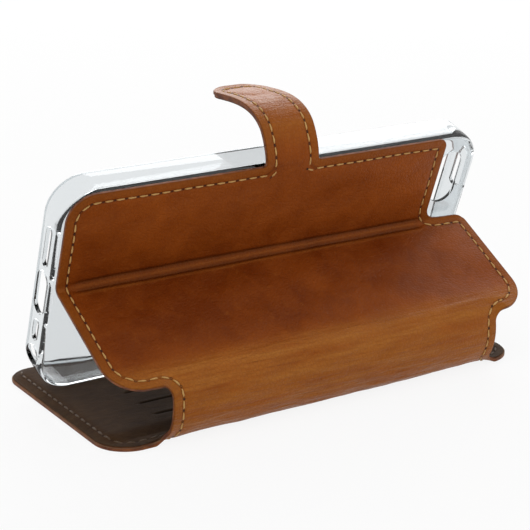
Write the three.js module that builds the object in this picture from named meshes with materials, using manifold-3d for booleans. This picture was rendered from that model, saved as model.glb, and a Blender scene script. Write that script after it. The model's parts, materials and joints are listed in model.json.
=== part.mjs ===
// Phone wallet case with a clear tray, standing on its folded back panel.
// Millimetres and degrees. +X runs along the phone, +Y from the spine to the cover's far edge,
// +Z up. The origin is the middle of the front cover's underside.
// Each panel is drawn in a frame of its own: x along the phone, y along the leather from the
// cover towards the strap, and z out of the leather's outside face, so layers have negative z.
import * as THREE from "three";
import { mergeVertices } from "three/addons/utils/BufferGeometryUtils.js";
import Module from "manifold-3d";

const wasm = await Module();
wasm.setup();

// The phone that the tray fits, and the tray
const PHONE_LENGTH = 123.8;
const PHONE_WIDTH = 58.6;
const PHONE_THICKNESS = 7.6;
const PHONE_CORNER = 8.6;
const PHONE_CLEARANCE = 0.2; // all round in the tray
const TRAY_BACK = 0.9;
const TRAY_WALL = 1.1;
const TRAY_EDGE_ROUND = 1.3;
const TRAY_LIP = 0.6; // how far the front rim reaches over the phone
const TRAY_LIP_THICKNESS = 0.6;

// Cut-outs in the tray, placed from its lower back edge and its middle
const CAMERA_CUT = { x: 54.4, up: 47.5, wide: 8.2, tall: 16.4 };
const END_CUTS = [
  { up: 9.3, long: 6.2, high: 6.2 }, // headphone jack
  { up: 17.6, long: 6.4, high: 2.6 }, // microphone slot
  { up: 29.4, long: 12.6, high: 5.4 }, // charging port
  { up: 43.2, long: 11.6, high: 2.6 }, // speaker slot
];
const POWER_CUT = { up: 47.0, long: 12.0, high: 3.6 };
const VOLUME_CUT = { x: 33.0, long: 30.0, high: 3.6 };

// Leather goods
const LEATHER = 0.85;
const BACK_BOARD = 0.45;
const BACK_LINING = 0.4;
const GLUE_PAD = 0.2;
const COVER_BOARD = 0.35;
const POCKET_SHEET = 0.18;
const COVER_LINING = 0.4;
const GLUE_LINE = 0.06; // between two layers
const JOINT_GAP = 0.3; // between two panels at a fold
const BEND_GAP = 1.3; // between two linings or threads where the spine or the strap bends
const LINING_MARGIN = 0.3; // the lining stops short of the leather's edge
const BOARD_MARGIN = 3.6; // the board stops inside the stitch line

// Panels
const CASE_LENGTH = 125.4;
const COVER_DEPTH = 57.1; // from the fold to the far edge
const KICK_PANEL_DEPTH = 30.1; // from the fold to the crease
const CREASE_HEIGHT = 34.85; // up the tray's back
const TOP_HEIGHT = 61.9; // up the tray's back
const LOBE_REACH = 4.6; // how far the lobes pass the folds
const LOBE_ROUND = 9.2;
const LOBE_INNER_ROUND = 1.8;
const CORNER_ROUND = 7.0;
const UPPER_CORNER_ROUND = 7.6;
const NOTCH_CORNER_ROUND = 2.6;
const NOTCH_X = 49.3; // the upper panel stops here, beside the camera
const NOTCH_FILLET = 4.2;

// Spine: a soft band that bulges between the two folds
const SPINE_HALF_LENGTH = 49.3;
const SPINE_CHORD = 19.8;
const SPINE_UPPER_PULL = 7.0; // length of the curve's upper handle
const SPINE_LOWER_PULL = 9.0; // length of the curve's lower handle
const SPINE_STEPS = 20;

// Stance
const TRAY_LEAN = 20.8;
const FOOT_DISTANCE = 36.2; // from the cover's fold to the tray's lower back edge
const FOOT_GAP = 0.12;

// Card pockets in the cover
const CARD_WIDTH = 85.6;
const CARD_CLEARANCE = 1.2; // each side
const MOUTH_WIDTH = 0.7;
const FIRST_MOUTH = 8.3; // from the cover's fold
const MOUTH_STEP = 8.0;
const MOUTHS = 3;
const POCKET_SEAM = 2.0; // beside the card, where a sheet is glued
const POCKET_FAR_MARGIN = 4.0;

// Clasp strap
const STRAP_X = -0.8;
const STRAP_WIDTH = 15.6;
const STRAP_LINING = 0.85;
const STRAP_STEPS = 26;
const STRAP_ROOT_STEPS = 10; // the steps that belong to the root
const STRAP_END_ROUND = 7.2;
const STRAP_RISE = 8.6; // length of the curve's handle at the root
const STRAP_REACH = 32.3; // from the root to the tip, across the top
const STRAP_HEIGHT = 15.2; // from the root to the tip, upwards
const STRAP_FLAT = 22.0; // length of the curve's handle at the tip
const STRAP_CROWN = 1.4; // how far that handle stands above the tip
const MAGNET_DIAMETER = 9.6;
const MAGNET_THICKNESS = 0.5;
const MAGNET_CLEARANCE = 0.15;
const CLASP_PLATE_SIDE = 14.0;
const CLASP_PLATE_THICKNESS = 0.3;
const CLASP_PLATE_FROM_EDGE = 12.0;

// Stitching
const STITCH_INSET = 2.6;
const THREAD_WIDTH = 0.6;
const THREAD_HEIGHT = 0.3;
const THREAD_GAP = 0.05;
const THREAD_FROM_CREASE = 1.0;

const STITCH_PASS = 10; // drawn past a fold and cut off there
const SPINE_THREAD_FROM = 2; // steps from the table, so that the thread stays off it

const FOLD_MARGIN = 1.2; // a board stops short of the folds
const BOARD_ROUND = 4;
const TRAY_CUT_DEPTH = 4;
const MAGNET_STEPS_FROM_TIP = 5;
const ARC_STEPS = 6;
const SIDES = [
  ["left", -1],
  ["right", 1],
];
const HALF = CASE_LENGTH / 2;

function finish(color, roughness, metalness = 0) {
  return new THREE.MeshStandardMaterial({ color, roughness, metalness });
}

const leatherFinish = finish(0x7a431c, 0.42);
const spineFinish = finish(0x8c531f, 0.45);
const liningFinish = finish(0x5b4633, 0.9);
const boardFinish = finish(0xa08a6c, 0.9);
const sheetFinish = finish(0x4c3b2c, 0.9);
const threadFinish = finish(0xc09a5b, 0.7);
const trayFinish = finish(0xe8edf0, 0.12);
const padFinish = finish(0xf2f2ee, 0.6);
const steelFinish = finish(0xb7b9bb, 0.35, 1);
const magnetFinish = finish(0xc7c8ca, 0.25, 1);

// A point or direction in the Y-Z plane, where every fold is a point.
const yz = (y, z) => new THREE.Vector2(y, z);

// The outward side of leather that runs along a direction.
const outwardOf = (along) => yz(-along.y, along.x);

// A frame on a panel's outside face: x along X, y along the leather, z outward.
function panelFrame(origin, along) {
  const frame = new THREE.Group();
  const out = outwardOf(along);
  frame.matrix.makeBasis(
    new THREE.Vector3(1, 0, 0),
    new THREE.Vector3(0, along.x, along.y),
    new THREE.Vector3(0, out.x, out.y),
  );
  frame.matrix.setPosition(0, origin.x, origin.y);
  frame.matrix.decompose(frame.position, frame.quaternion, frame.scale);
  return frame;
}

// Which way a corner turns: positive is anticlockwise.
function turnAt(before, corner, after) {
  return (
    (corner.x - before.x) * (after.y - corner.y) -
    (corner.y - before.y) * (after.x - corner.x)
  );
}

// Corners are { x, y, r } in anticlockwise order. Moves every side inwards and follows it with
// the radii, so that arcs stay concentric.
function insetCorners(corners, inset) {
  const count = corners.length;
  return corners.map((corner, i) => {
    const before = corners[(i + count - 1) % count];
    const after = corners[(i + 1) % count];
    const a = new THREE.Vector2(corner.x - before.x, corner.y - before.y).normalize();
    const b = new THREE.Vector2(after.x - corner.x, after.y - corner.y).normalize();
    const normalSum = new THREE.Vector2(-a.y - b.y, a.x + b.x);
    const scale = inset / (1 + a.dot(b));
    const outerCorner = turnAt(before, corner, after) > 0;
    return {
      x: corner.x + normalSum.x * scale,
      y: corner.y + normalSum.y * scale,
      r: corner.r && Math.max(0, outerCorner ? corner.r - inset : corner.r + inset),
    };
  });
}

// A closed outline with an arc at each corner that has a radius.
function outline(corners, PathType = THREE.Shape) {
  const path = new PathType();
  const count = corners.length;
  corners.forEach((corner, i) => {
    const before = corners[(i + count - 1) % count];
    const after = corners[(i + 1) % count];
    const a = new THREE.Vector2(before.x - corner.x, before.y - corner.y).normalize();
    const b = new THREE.Vector2(after.x - corner.x, after.y - corner.y).normalize();
    const here = new THREE.Vector2(corner.x, corner.y);
    if (corner.r > 0) {
      const halfAngle = Math.acos(THREE.MathUtils.clamp(a.dot(b), -1, 1)) / 2;
      const reach = corner.r / Math.tan(halfAngle);
      const start = here.clone().addScaledVector(a, reach);
      const end = here.clone().addScaledVector(b, reach);
      const middle = here
        .clone()
        .addScaledVector(a.clone().add(b).normalize(), corner.r / Math.sin(halfAngle));
      const startAngle = Math.atan2(start.y - middle.y, start.x - middle.x);
      const endAngle = Math.atan2(end.y - middle.y, end.x - middle.x);
      const clockwise = turnAt(before, corner, after) < 0;
      path.absarc(middle.x, middle.y, corner.r, startAngle, endAngle, clockwise);
    } else if (i === 0) path.moveTo(corner.x, corner.y);
    else path.lineTo(corner.x, corner.y);
  });
  path.closePath();
  return path;
}

function rectangle(left, bottom, right, top, r = 0) {
  return [
    { x: left, y: bottom, r },
    { x: right, y: bottom, r },
    { x: right, y: top, r },
    { x: left, y: top, r },
  ];
}

// A rectangle's corners with one radius for its low side and another for its high side.
function rounded([a, b, c, d], lowRound, highRound) {
  return [
    { ...a, r: lowRound },
    { ...b, r: lowRound },
    { ...c, r: highRound },
    { ...d, r: highRound },
  ];
}

// A slot with round ends, centred on the origin.
function racetrack(long, high) {
  const r = Math.min(long, high) / 2 - 1e-3;
  return rectangle(-long / 2, -high / 2, long / 2, high / 2, r);
}

// A sheet with an outline, from one height to another, in the frame that it is drawn in.
function sheet(corners, low, high, holes = []) {
  const shape = outline(corners);
  shape.holes = holes.map((hole) => outline(hole, THREE.Path));
  const geometry = new THREE.ExtrudeGeometry(shape, {
    depth: high - low,
    bevelEnabled: false,
    curveSegments: ARC_STEPS,
  });
  return geometry.translate(0, 0, low);
}

// A band that follows a curve of { at, out } points, between two offsets outward of it.
function band(points, inner, outer, left, right) {
  const face = (offset) => points.map((p) => p.at.clone().addScaledVector(p.out, offset));
  const shape = new THREE.Shape([...face(outer), ...face(inner).reverse()]);
  const geometry = new THREE.ExtrudeGeometry(shape, {
    depth: right - left,
    bevelEnabled: false,
  });
  const turn = new THREE.Matrix4().makeBasis(
    new THREE.Vector3(0, 1, 0),
    new THREE.Vector3(0, 0, 1),
    new THREE.Vector3(1, 0, 0),
  );
  return geometry.applyMatrix4(turn.setPosition(left, 0, 0));
}

// A cubic curve's points with the outward direction at each.
function curvePoints(from, fromHandle, toHandle, to, steps) {
  const curve = new THREE.CubicBezierCurve(from, fromHandle, toHandle, to);
  return Array.from({ length: steps + 1 }, (_, i) => ({
    at: curve.getPoint(i / steps),
    out: outwardOf(curve.getTangent(i / steps)),
  }));
}

// The same points with both ends pulled in by half a gap.
function trimEnds(points, gap = JOINT_GAP) {
  const trimmed = points.map((p) => ({ at: p.at.clone(), out: p.out }));
  const pull = (end, next) => {
    const inward = next.at.clone().sub(end.at).normalize();
    end.at.addScaledVector(inward, gap / 2);
  };
  pull(trimmed[0], trimmed[1]);
  pull(trimmed.at(-1), trimmed.at(-2));
  return trimmed;
}

function solidOf(geometry) {
  const bare = new THREE.BufferGeometry();
  const flat = geometry.index ? geometry.toNonIndexed() : geometry;
  bare.setAttribute("position", flat.getAttribute("position"));
  const merged = mergeVertices(bare, 1e-5);
  return new wasm.Manifold(
    new wasm.Mesh({
      numProp: 3,
      vertProperties: merged.attributes.position.array,
      triVerts: new Uint32Array(merged.index.array),
    }),
  );
}

function geometryOf(solid) {
  const mesh = solid.getMesh();
  const geometry = new THREE.BufferGeometry();
  geometry.setAttribute("position", new THREE.BufferAttribute(mesh.vertProperties, 3));
  geometry.setIndex(new THREE.BufferAttribute(mesh.triVerts, 1));
  return geometry;
}

function cut(geometry, cutters) {
  const left = cutters.reduce((s, cutter) => s.subtract(solidOf(cutter)), solidOf(geometry));
  return geometryOf(left);
}

function keepInside(geometry, keeper) {
  return geometryOf(solidOf(geometry).intersect(solidOf(keeper)));
}

function block(left, bottom, low, right, top, high) {
  return sheet(rectangle(left, bottom, right, top), low, high);
}

function add(parent, name, geometry, material) {
  const mesh = new THREE.Mesh(geometry, material);
  mesh.name = name;
  parent.add(mesh);
  return mesh;
}

// Layer depths, as z of each layer's two faces in a panel's frame
function stack(thicknesses) {
  let top = 0;
  return thicknesses.map((thickness) => {
    const faces = { high: top, low: top - thickness };
    top = faces.low - GLUE_LINE;
    return faces;
  });
}

const coverLayers = stack([
  LEATHER,
  COVER_BOARD,
  ...Array(MOUTHS).fill(POCKET_SHEET),
  COVER_LINING,
]);
const backLayers = stack([LEATHER, BACK_BOARD, BACK_LINING, GLUE_PAD]);
const strapLayers = stack([LEATHER, STRAP_LINING]);
const coverThickness = -coverLayers.at(-1).low;
const backThickness = -backLayers.at(-1).low + GLUE_LINE;

// Tray sizes
const trayLength = PHONE_LENGTH + 2 * (PHONE_CLEARANCE + TRAY_WALL);
const trayWidth = PHONE_WIDTH + 2 * (PHONE_CLEARANCE + TRAY_WALL);
const trayThickness =
  TRAY_BACK + PHONE_CLEARANCE + PHONE_THICKNESS + TRAY_LIP_THICKNESS;

// Stance: every fold is a point in the Y-Z plane.
const lean = THREE.MathUtils.degToRad(TRAY_LEAN);
const upTray = yz(-Math.sin(lean), Math.cos(lean));
const outOfTray = outwardOf(upTray);
const coverFold = yz(-COVER_DEPTH / 2, 0);
const footRise = TRAY_EDGE_ROUND * (Math.cos(lean) + Math.sin(lean) - 1);
const trayFoot = yz(coverFold.x + FOOT_DISTANCE, coverThickness + FOOT_GAP - footRise);
const onBack = (height) =>
  trayFoot
    .clone()
    .addScaledVector(upTray, height)
    .addScaledVector(outOfTray, backThickness);
const crease = onBack(CREASE_HEIGHT);

// The fold between the back panel and the spine is where both reach it.
function foldBetween(from, fromLength, to, toLength) {
  const line = to.clone().sub(from);
  const distance = line.length();
  const share =
    (fromLength ** 2 - toLength ** 2 + distance ** 2) / (2 * distance);
  const side = Math.sqrt(fromLength ** 2 - share ** 2);
  line.normalize();
  return from
    .clone()
    .addScaledVector(line, share)
    .addScaledVector(yz(line.y, -line.x), side);
}

const kickFold = foldBetween(crease, KICK_PANEL_DEPTH, coverFold, SPINE_CHORD);
const alongKick = crease.clone().sub(kickFold).normalize();
const alongCover = yz(-1, 0);

// Outlines, each drawn in its panel's frame
const lobeInnerX = SPINE_HALF_LENGTH + JOINT_GAP;
const lobedPanel = (near, far, nearRound, farRound) => [
  { x: -HALF, y: near, r: nearRound },
  { x: -lobeInnerX, y: near, r: LOBE_INNER_ROUND },
  { x: -lobeInnerX, y: JOINT_GAP / 2, r: 0 },
  { x: lobeInnerX, y: JOINT_GAP / 2, r: 0 },
  { x: lobeInnerX, y: near, r: LOBE_INNER_ROUND },
  { x: HALF, y: near, r: nearRound },
  { x: HALF, y: far, r: farRound },
  { x: -HALF, y: far, r: 0 },
];
const turnedOver = (corners) => corners.map(({ x, y, r }) => ({ x: -x, y: -y, r }));

const kickOutline = lobedPanel(
  -LOBE_REACH,
  KICK_PANEL_DEPTH - JOINT_GAP / 2,
  LOBE_ROUND,
  NOTCH_CORNER_ROUND,
);
const coverOutline = turnedOver(
  lobedPanel(-LOBE_REACH, COVER_DEPTH, LOBE_ROUND, CORNER_ROUND),
).map((corner) => (corner.y < -LOBE_REACH ? { ...corner, r: CORNER_ROUND } : corner));
const upperDepth = TOP_HEIGHT - CREASE_HEIGHT;
const upperOutlineFrom = (bottom) => [
  { x: -HALF, y: bottom, r: 0 },
  { x: NOTCH_X + NOTCH_FILLET, y: bottom, r: 0 },
  { x: NOTCH_X, y: JOINT_GAP / 2 + NOTCH_FILLET, r: 0 },
  { x: NOTCH_X, y: upperDepth, r: NOTCH_CORNER_ROUND },
  { x: -HALF, y: upperDepth, r: UPPER_CORNER_ROUND },
];

// The strip along an outline's stitch line, lying just off a face at a height.
function threadRing(corners, low, high) {
  const outer = insetCorners(corners, STITCH_INSET - THREAD_WIDTH / 2);
  const inner = insetCorners(corners, STITCH_INSET + THREAD_WIDTH / 2);
  return sheet(outer, low, high, [inner]);
}

const part = new THREE.Group();

// Front cover
const coverFrame = panelFrame(coverFold, alongCover);
part.add(coverFrame);
const coverBoardOutline = insetCorners(
  rectangle(-HALF, -COVER_DEPTH, HALF, 0, CORNER_ROUND),
  BOARD_MARGIN,
);
const claspPlateY = -COVER_DEPTH + CLASP_PLATE_FROM_EDGE;
const claspPlateOutline = rectangle(
  STRAP_X - CLASP_PLATE_SIDE / 2,
  claspPlateY - CLASP_PLATE_SIDE / 2,
  STRAP_X + CLASP_PLATE_SIDE / 2,
  claspPlateY + CLASP_PLATE_SIDE / 2,
  2,
);
const mouthHalf = CARD_WIDTH / 2 + CARD_CLEARANCE;
const mouthY = (index) => -FIRST_MOUTH - index * MOUTH_STEP;
const mouths = Array.from({ length: MOUTHS }, (_, i) =>
  rectangle(-mouthHalf, mouthY(i) - MOUTH_WIDTH / 2, mouthHalf, mouthY(i) + MOUTH_WIDTH / 2),
);

const [coverLeather, coverBoard, ...coverInner] = coverLayers;
add(
  coverFrame,
  "front_cover_leather",
  sheet(coverOutline, coverLeather.low, coverLeather.high),
  leatherFinish,
);
add(
  coverFrame,
  "front_cover_board",
  sheet(coverBoardOutline, coverBoard.low, coverBoard.high, [
    insetCorners(claspPlateOutline, -MAGNET_CLEARANCE),
  ]),
  boardFinish,
);
add(
  coverFrame,
  "clasp_plate",
  sheet(claspPlateOutline, coverBoard.high - CLASP_PLATE_THICKNESS, coverBoard.high),
  steelFinish,
);
for (let i = 0; i < MOUTHS; i += 1) {
  // The first pocket lies nearest the lining.
  const faces = coverInner[MOUTHS - 1 - i];
  const sheetOutline = rectangle(
    -mouthHalf - POCKET_SEAM,
    -COVER_DEPTH + POCKET_FAR_MARGIN,
    mouthHalf + POCKET_SEAM,
    mouthY(i) + MOUTH_WIDTH,
    1,
  );
  add(coverFrame, `card_pocket_sheet_${i + 1}`, sheet(sheetOutline, faces.low, faces.high), sheetFinish);
}
const coverLining = coverInner.at(-1);
add(
  coverFrame,
  "front_cover_lining",
  sheet(insetCorners(coverOutline, LINING_MARGIN), coverLining.low, coverLining.high, mouths),
  liningFinish,
);
add(
  coverFrame,
  "front_cover_thread",
  cut(
    threadRing(
      rounded(rectangle(-HALF, -COVER_DEPTH, HALF, LOBE_REACH), CORNER_ROUND, LOBE_ROUND),
      coverLining.low - THREAD_GAP - THREAD_HEIGHT,
      coverLining.low - THREAD_GAP,
    ),
    [block(-lobeInnerX, -LOBE_REACH, -COVER_DEPTH, lobeInnerX, LOBE_REACH, COVER_DEPTH)],
  ),
  threadFinish,
);

// Spine: two halves that bend on each other
const spinePoints = curvePoints(
  coverFold,
  coverFold.clone().addScaledVector(alongCover, SPINE_LOWER_PULL),
  kickFold.clone().addScaledVector(alongKick, -SPINE_UPPER_PULL),
  kickFold,
  SPINE_STEPS,
);
const [spineLeather, spineLining] = stack([LEATHER, BACK_LINING]);
const spineLiningHalf = SPINE_HALF_LENGTH - LINING_MARGIN;
const spineThreadX = SPINE_HALF_LENGTH - STITCH_INSET;
const spineHalves = {
  lower: [spinePoints.slice(0, SPINE_STEPS / 2 + 1), SPINE_THREAD_FROM, undefined],
  upper: [spinePoints.slice(SPINE_STEPS / 2), 0, -1],
};
for (const [half, [points, threadFrom, threadTo]] of Object.entries(spineHalves)) {
  const curve = trimEnds(points);
  add(
    part,
    `spine_${half}_leather`,
    band(curve, spineLeather.low, spineLeather.high, -SPINE_HALF_LENGTH, SPINE_HALF_LENGTH),
    spineFinish,
  );
  add(
    part,
    `spine_${half}_lining`,
    band(curve, spineLining.low, spineLining.high, -spineLiningHalf, spineLiningHalf),
    liningFinish,
  );
  const threadCurve = trimEnds(points, BEND_GAP).slice(threadFrom, threadTo);
  for (const [side, sign] of SIDES) {
    const middle = sign * spineThreadX;
    const strip = band(
      threadCurve,
      THREAD_GAP,
      THREAD_GAP + THREAD_HEIGHT,
      middle - THREAD_WIDTH / 2,
      middle + THREAD_WIDTH / 2,
    );
    add(part, `spine_${half}_thread_${side}`, strip, threadFinish);
  }
}

// Kick panel
const kickFrame = panelFrame(kickFold, alongKick);
part.add(kickFrame);
const [backLeather, backBoard, backLining, gluePad] = backLayers;
add(
  kickFrame,
  "kick_panel_leather",
  sheet(kickOutline, backLeather.low, backLeather.high),
  leatherFinish,
);
add(
  kickFrame,
  "kick_panel_board",
  sheet(
    rectangle(
      -HALF + BOARD_MARGIN,
      FOLD_MARGIN,
      HALF - BOARD_MARGIN,
      KICK_PANEL_DEPTH - FOLD_MARGIN,
      BOARD_ROUND,
    ),
    backBoard.low,
    backBoard.high,
  ),
  boardFinish,
);
add(
  kickFrame,
  "kick_panel_lining",
  sheet(insetCorners(kickOutline, LINING_MARGIN), backLining.low, backLining.high),
  liningFinish,
);
const kickThread = threadRing(
  rounded(
    rectangle(-HALF, -LOBE_REACH, HALF, KICK_PANEL_DEPTH + STITCH_PASS),
    LOBE_ROUND,
    0,
  ),
  THREAD_GAP,
  THREAD_GAP + THREAD_HEIGHT,
);
const kickThreadTop = KICK_PANEL_DEPTH - THREAD_FROM_CREASE;
for (const [side, sign] of SIDES) {
  const [left, right] = [sign * lobeInnerX, sign * HALF].sort((a, b) => a - b);
  const run = keepInside(kickThread, block(left, -LOBE_REACH, 0, right, kickThreadTop, 1));
  add(kickFrame, `kick_panel_thread_${side}`, run, threadFinish);
}

// Upper panel, glued to the tray
const upperFrame = panelFrame(crease, upTray);
part.add(upperFrame);
const upperOutline = upperOutlineFrom(JOINT_GAP / 2);
add(
  upperFrame,
  "upper_panel_leather",
  sheet(upperOutline, backLeather.low, backLeather.high),
  leatherFinish,
);
const upperBoardOutline = rectangle(
  -HALF + BOARD_MARGIN,
  FOLD_MARGIN,
  NOTCH_X - BOARD_MARGIN,
  upperDepth - BOARD_MARGIN,
  BOARD_ROUND,
);
add(
  upperFrame,
  "upper_panel_board",
  sheet(upperBoardOutline, backBoard.low, backBoard.high),
  boardFinish,
);
add(
  upperFrame,
  "upper_panel_lining",
  sheet(insetCorners(upperOutline, LINING_MARGIN), backLining.low, backLining.high),
  liningFinish,
);
add(upperFrame, "glue_pad", sheet(upperBoardOutline, gluePad.low, gluePad.high), padFinish);
const upperThread = threadRing(
  upperOutlineFrom(-STITCH_PASS),
  THREAD_GAP,
  THREAD_GAP + THREAD_HEIGHT,
);
const strapLeft = STRAP_X - STRAP_WIDTH / 2;
const strapRight = STRAP_X + STRAP_WIDTH / 2;
const upperThreadEnds = {
  left: [-HALF, strapLeft + STITCH_INSET],
  right: [strapRight - STITCH_INSET, NOTCH_X],
};
for (const [side] of SIDES) {
  const [left, right] = upperThreadEnds[side];
  const run = keepInside(upperThread, block(left, THREAD_FROM_CREASE, 0, right, upperDepth, 1));
  add(upperFrame, `upper_panel_thread_${side}`, run, threadFinish);
}

// Clear tray: a shallow box, open at the front, with a rim that holds the phone
const trayFrame = panelFrame(trayFoot, upTray);
part.add(trayFrame);
function trayBody() {
  const round = TRAY_EDGE_ROUND;
  const outerRound = PHONE_CORNER + PHONE_CLEARANCE + TRAY_WALL;
  const corners = rectangle(-trayLength / 2, 0, trayLength / 2, trayWidth, outerRound);
  const body = new THREE.ExtrudeGeometry(outline(corners), {
    depth: trayThickness - 2 * round,
    bevelSize: round,
    bevelOffset: -round,
    bevelThickness: round,
    bevelSegments: 3,
    curveSegments: ARC_STEPS,
  });
  body.translate(0, 0, round - trayThickness);
  const pocket = insetCorners(corners, TRAY_WALL);
  const mouth = insetCorners(pocket, TRAY_LIP);
  const rimLow = TRAY_LIP_THICKNESS - trayThickness;
  const middleZ = (rimLow - TRAY_BACK) / 2;
  const endSlot = ({ up, long, high }, x) =>
    sheet(racetrack(long, high), -TRAY_CUT_DEPTH, TRAY_CUT_DEPTH).applyMatrix4(
      new THREE.Matrix4()
        .makeBasis(
          new THREE.Vector3(0, 1, 0),
          new THREE.Vector3(0, 0, 1),
          new THREE.Vector3(1, 0, 0),
        )
        .setPosition(x, up, middleZ),
    );
  const volumeSlot = sheet(
    racetrack(VOLUME_CUT.long, VOLUME_CUT.high),
    -TRAY_CUT_DEPTH,
    TRAY_CUT_DEPTH,
  );
  volumeSlot.rotateX(-Math.PI / 2).translate(VOLUME_CUT.x, 0, middleZ);
  const cameraHole = sheet(racetrack(CAMERA_CUT.wide, CAMERA_CUT.tall), -trayThickness / 2, 1);
  cameraHole.translate(CAMERA_CUT.x, CAMERA_CUT.up, 0);
  return cut(body, [
    sheet(pocket, rimLow, -TRAY_BACK),
    sheet(mouth, -trayThickness - 1, -TRAY_BACK - 1),
    cameraHole,
    volumeSlot,
    endSlot(POWER_CUT, trayLength / 2),
    ...END_CUTS.map((slot) => endSlot(slot, -trayLength / 2)),
  ]);
}
add(trayFrame, "clear_tray", trayBody(), trayFinish);

// Clasp strap: one curve, divided into a root and a tip that bend on each other
const strapStart = onBack(TOP_HEIGHT + JOINT_GAP);
const strapEnd = yz(strapStart.x + STRAP_REACH, strapStart.y + STRAP_HEIGHT);
const strapCurve = curvePoints(
  strapStart,
  yz(strapStart.x, strapStart.y + STRAP_RISE),
  yz(strapEnd.x - STRAP_FLAT, strapEnd.y + STRAP_CROWN),
  strapEnd,
  STRAP_STEPS,
).map(({ at, out }) => ({ at, out: out.clone() }));
const rootPoints = strapCurve.slice(0, STRAP_ROOT_STEPS + 1);
const tipPoints = strapCurve.slice(STRAP_ROOT_STEPS);
const rootInside = trimEnds(rootPoints, BEND_GAP);
const tipInside = trimEnds(tipPoints, BEND_GAP);
const [strapLeather, strapLining] = strapLayers;
const strapLayerSet = [
  ["leather", strapLeather, 0, leatherFinish, trimEnds(rootPoints), trimEnds(tipPoints)],
  ["lining", strapLining, LINING_MARGIN, liningFinish, rootInside, tipInside],
];

// The magnet lies between the layers, square to the curve where it sits.
const magnetPlace = tipPoints.at(-1 - MAGNET_STEPS_FROM_TIP);
const magnetFrame = panelFrame(
  magnetPlace.at.clone().addScaledVector(magnetPlace.out, strapLeather.low),
  yz(magnetPlace.out.y, -magnetPlace.out.x),
);
part.add(magnetFrame);
magnetFrame.updateMatrix();
function magnetDisc(clearance) {
  const radius = MAGNET_DIAMETER / 2 + clearance;
  const height = MAGNET_THICKNESS + 2 * clearance;
  const disc = new THREE.CylinderGeometry(radius, radius, height, 32);
  return disc.rotateX(Math.PI / 2).translate(STRAP_X, 0, 0);
}
add(magnetFrame, "strap_magnet", magnetDisc(0), magnetFinish);
const magnetPocket = magnetDisc(MAGNET_CLEARANCE).applyMatrix4(magnetFrame.matrix);

for (const [layer, faces, margin, material, rootCurve, tipCurve] of strapLayerSet) {
  const left = strapLeft + margin;
  const right = strapRight - margin;
  add(
    part,
    `strap_root_${layer}`,
    band(rootCurve, faces.low, faces.high, left, right),
    material,
  );
  const tipShape = rounded(
    rectangle(left, strapStart.x, right, strapEnd.x - margin),
    0,
    STRAP_END_ROUND,
  );
  const tipKeeper = sheet(tipShape, 0, strapStart.y + STRAP_REACH);
  const tip = keepInside(band(tipCurve, faces.low, faces.high, left, right), tipKeeper);
  add(part, `strap_tip_${layer}`, cut(tip, [magnetPocket]), material);
}
for (const [side, sign] of SIDES) {
  const middle = STRAP_X + sign * (STRAP_WIDTH / 2 - STITCH_INSET);
  const strip = band(
    rootInside,
    THREAD_GAP,
    THREAD_GAP + THREAD_HEIGHT,
    middle - THREAD_WIDTH / 2,
    middle + THREAD_WIDTH / 2,
  );
  add(part, `strap_root_thread_${side}`, strip, threadFinish);
}
const tipThreadBand = band(
  tipInside,
  THREAD_GAP,
  THREAD_GAP + THREAD_HEIGHT,
  strapLeft,
  strapRight,
);
const tipThreadKeeper = threadRing(
  rounded(
    rectangle(strapLeft, strapStart.x - STITCH_PASS, strapRight, strapEnd.x),
    0,
    STRAP_END_ROUND,
  ),
  0,
  strapStart.y + STRAP_REACH,
);
add(part, "strap_tip_thread", keepInside(tipThreadBand, tipThreadKeeper), threadFinish);

export default part;
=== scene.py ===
"""Looks of the phone wallet case: hide, suede lining, stitches, clear tray and a plain studio.

Lengths are worked out in millimetres and turned into metres when a mesh is made. The leather is
one sheet, so a point on it is (x, s): x along the case, and s along the leather from the fold of
the front cover, over the spine and the back panel, to the strap's tip. The cover has negative s.
"""

import json
import logging
import math
from dataclasses import dataclass, field, replace
from enum import Enum

import bmesh
import bpy
import numpy as np
from mathutils import Euler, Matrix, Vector


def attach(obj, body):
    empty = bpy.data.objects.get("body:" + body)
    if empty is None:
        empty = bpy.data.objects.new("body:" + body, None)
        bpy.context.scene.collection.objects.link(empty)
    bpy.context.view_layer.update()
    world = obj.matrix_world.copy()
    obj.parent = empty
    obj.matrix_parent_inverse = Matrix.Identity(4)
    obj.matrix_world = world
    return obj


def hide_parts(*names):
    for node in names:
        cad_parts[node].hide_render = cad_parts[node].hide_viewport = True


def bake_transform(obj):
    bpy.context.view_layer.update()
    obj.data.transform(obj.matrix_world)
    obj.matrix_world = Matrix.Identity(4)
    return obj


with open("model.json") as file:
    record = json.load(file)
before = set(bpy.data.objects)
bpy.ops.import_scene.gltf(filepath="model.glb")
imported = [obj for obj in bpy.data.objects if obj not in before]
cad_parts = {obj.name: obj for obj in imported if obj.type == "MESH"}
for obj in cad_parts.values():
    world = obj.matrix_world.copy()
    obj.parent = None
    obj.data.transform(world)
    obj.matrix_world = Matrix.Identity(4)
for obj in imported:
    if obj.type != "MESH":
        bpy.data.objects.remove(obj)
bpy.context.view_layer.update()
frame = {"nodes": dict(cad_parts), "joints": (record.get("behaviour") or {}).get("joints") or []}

MM = 0.001
SIDES = {"left": -1, "right": 1}
log = logging.getLogger("wallet_case")

Array = np.ndarray
Colour = tuple[float, float, float]


def srgb(code: str) -> Colour:
    """Turn a written colour such as 7a431c into the linear values that a shader takes.

    Args:
        code: Six hexadecimal digits.

    Returns:
        The red, green and blue parts, linear.
    """
    parts = [int(code[i : i + 2], 16) / 255 for i in (0, 2, 4)]
    return tuple(p / 12.92 if p <= 0.04045 else ((p + 0.055) / 1.055) ** 2.4 for p in parts)


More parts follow.
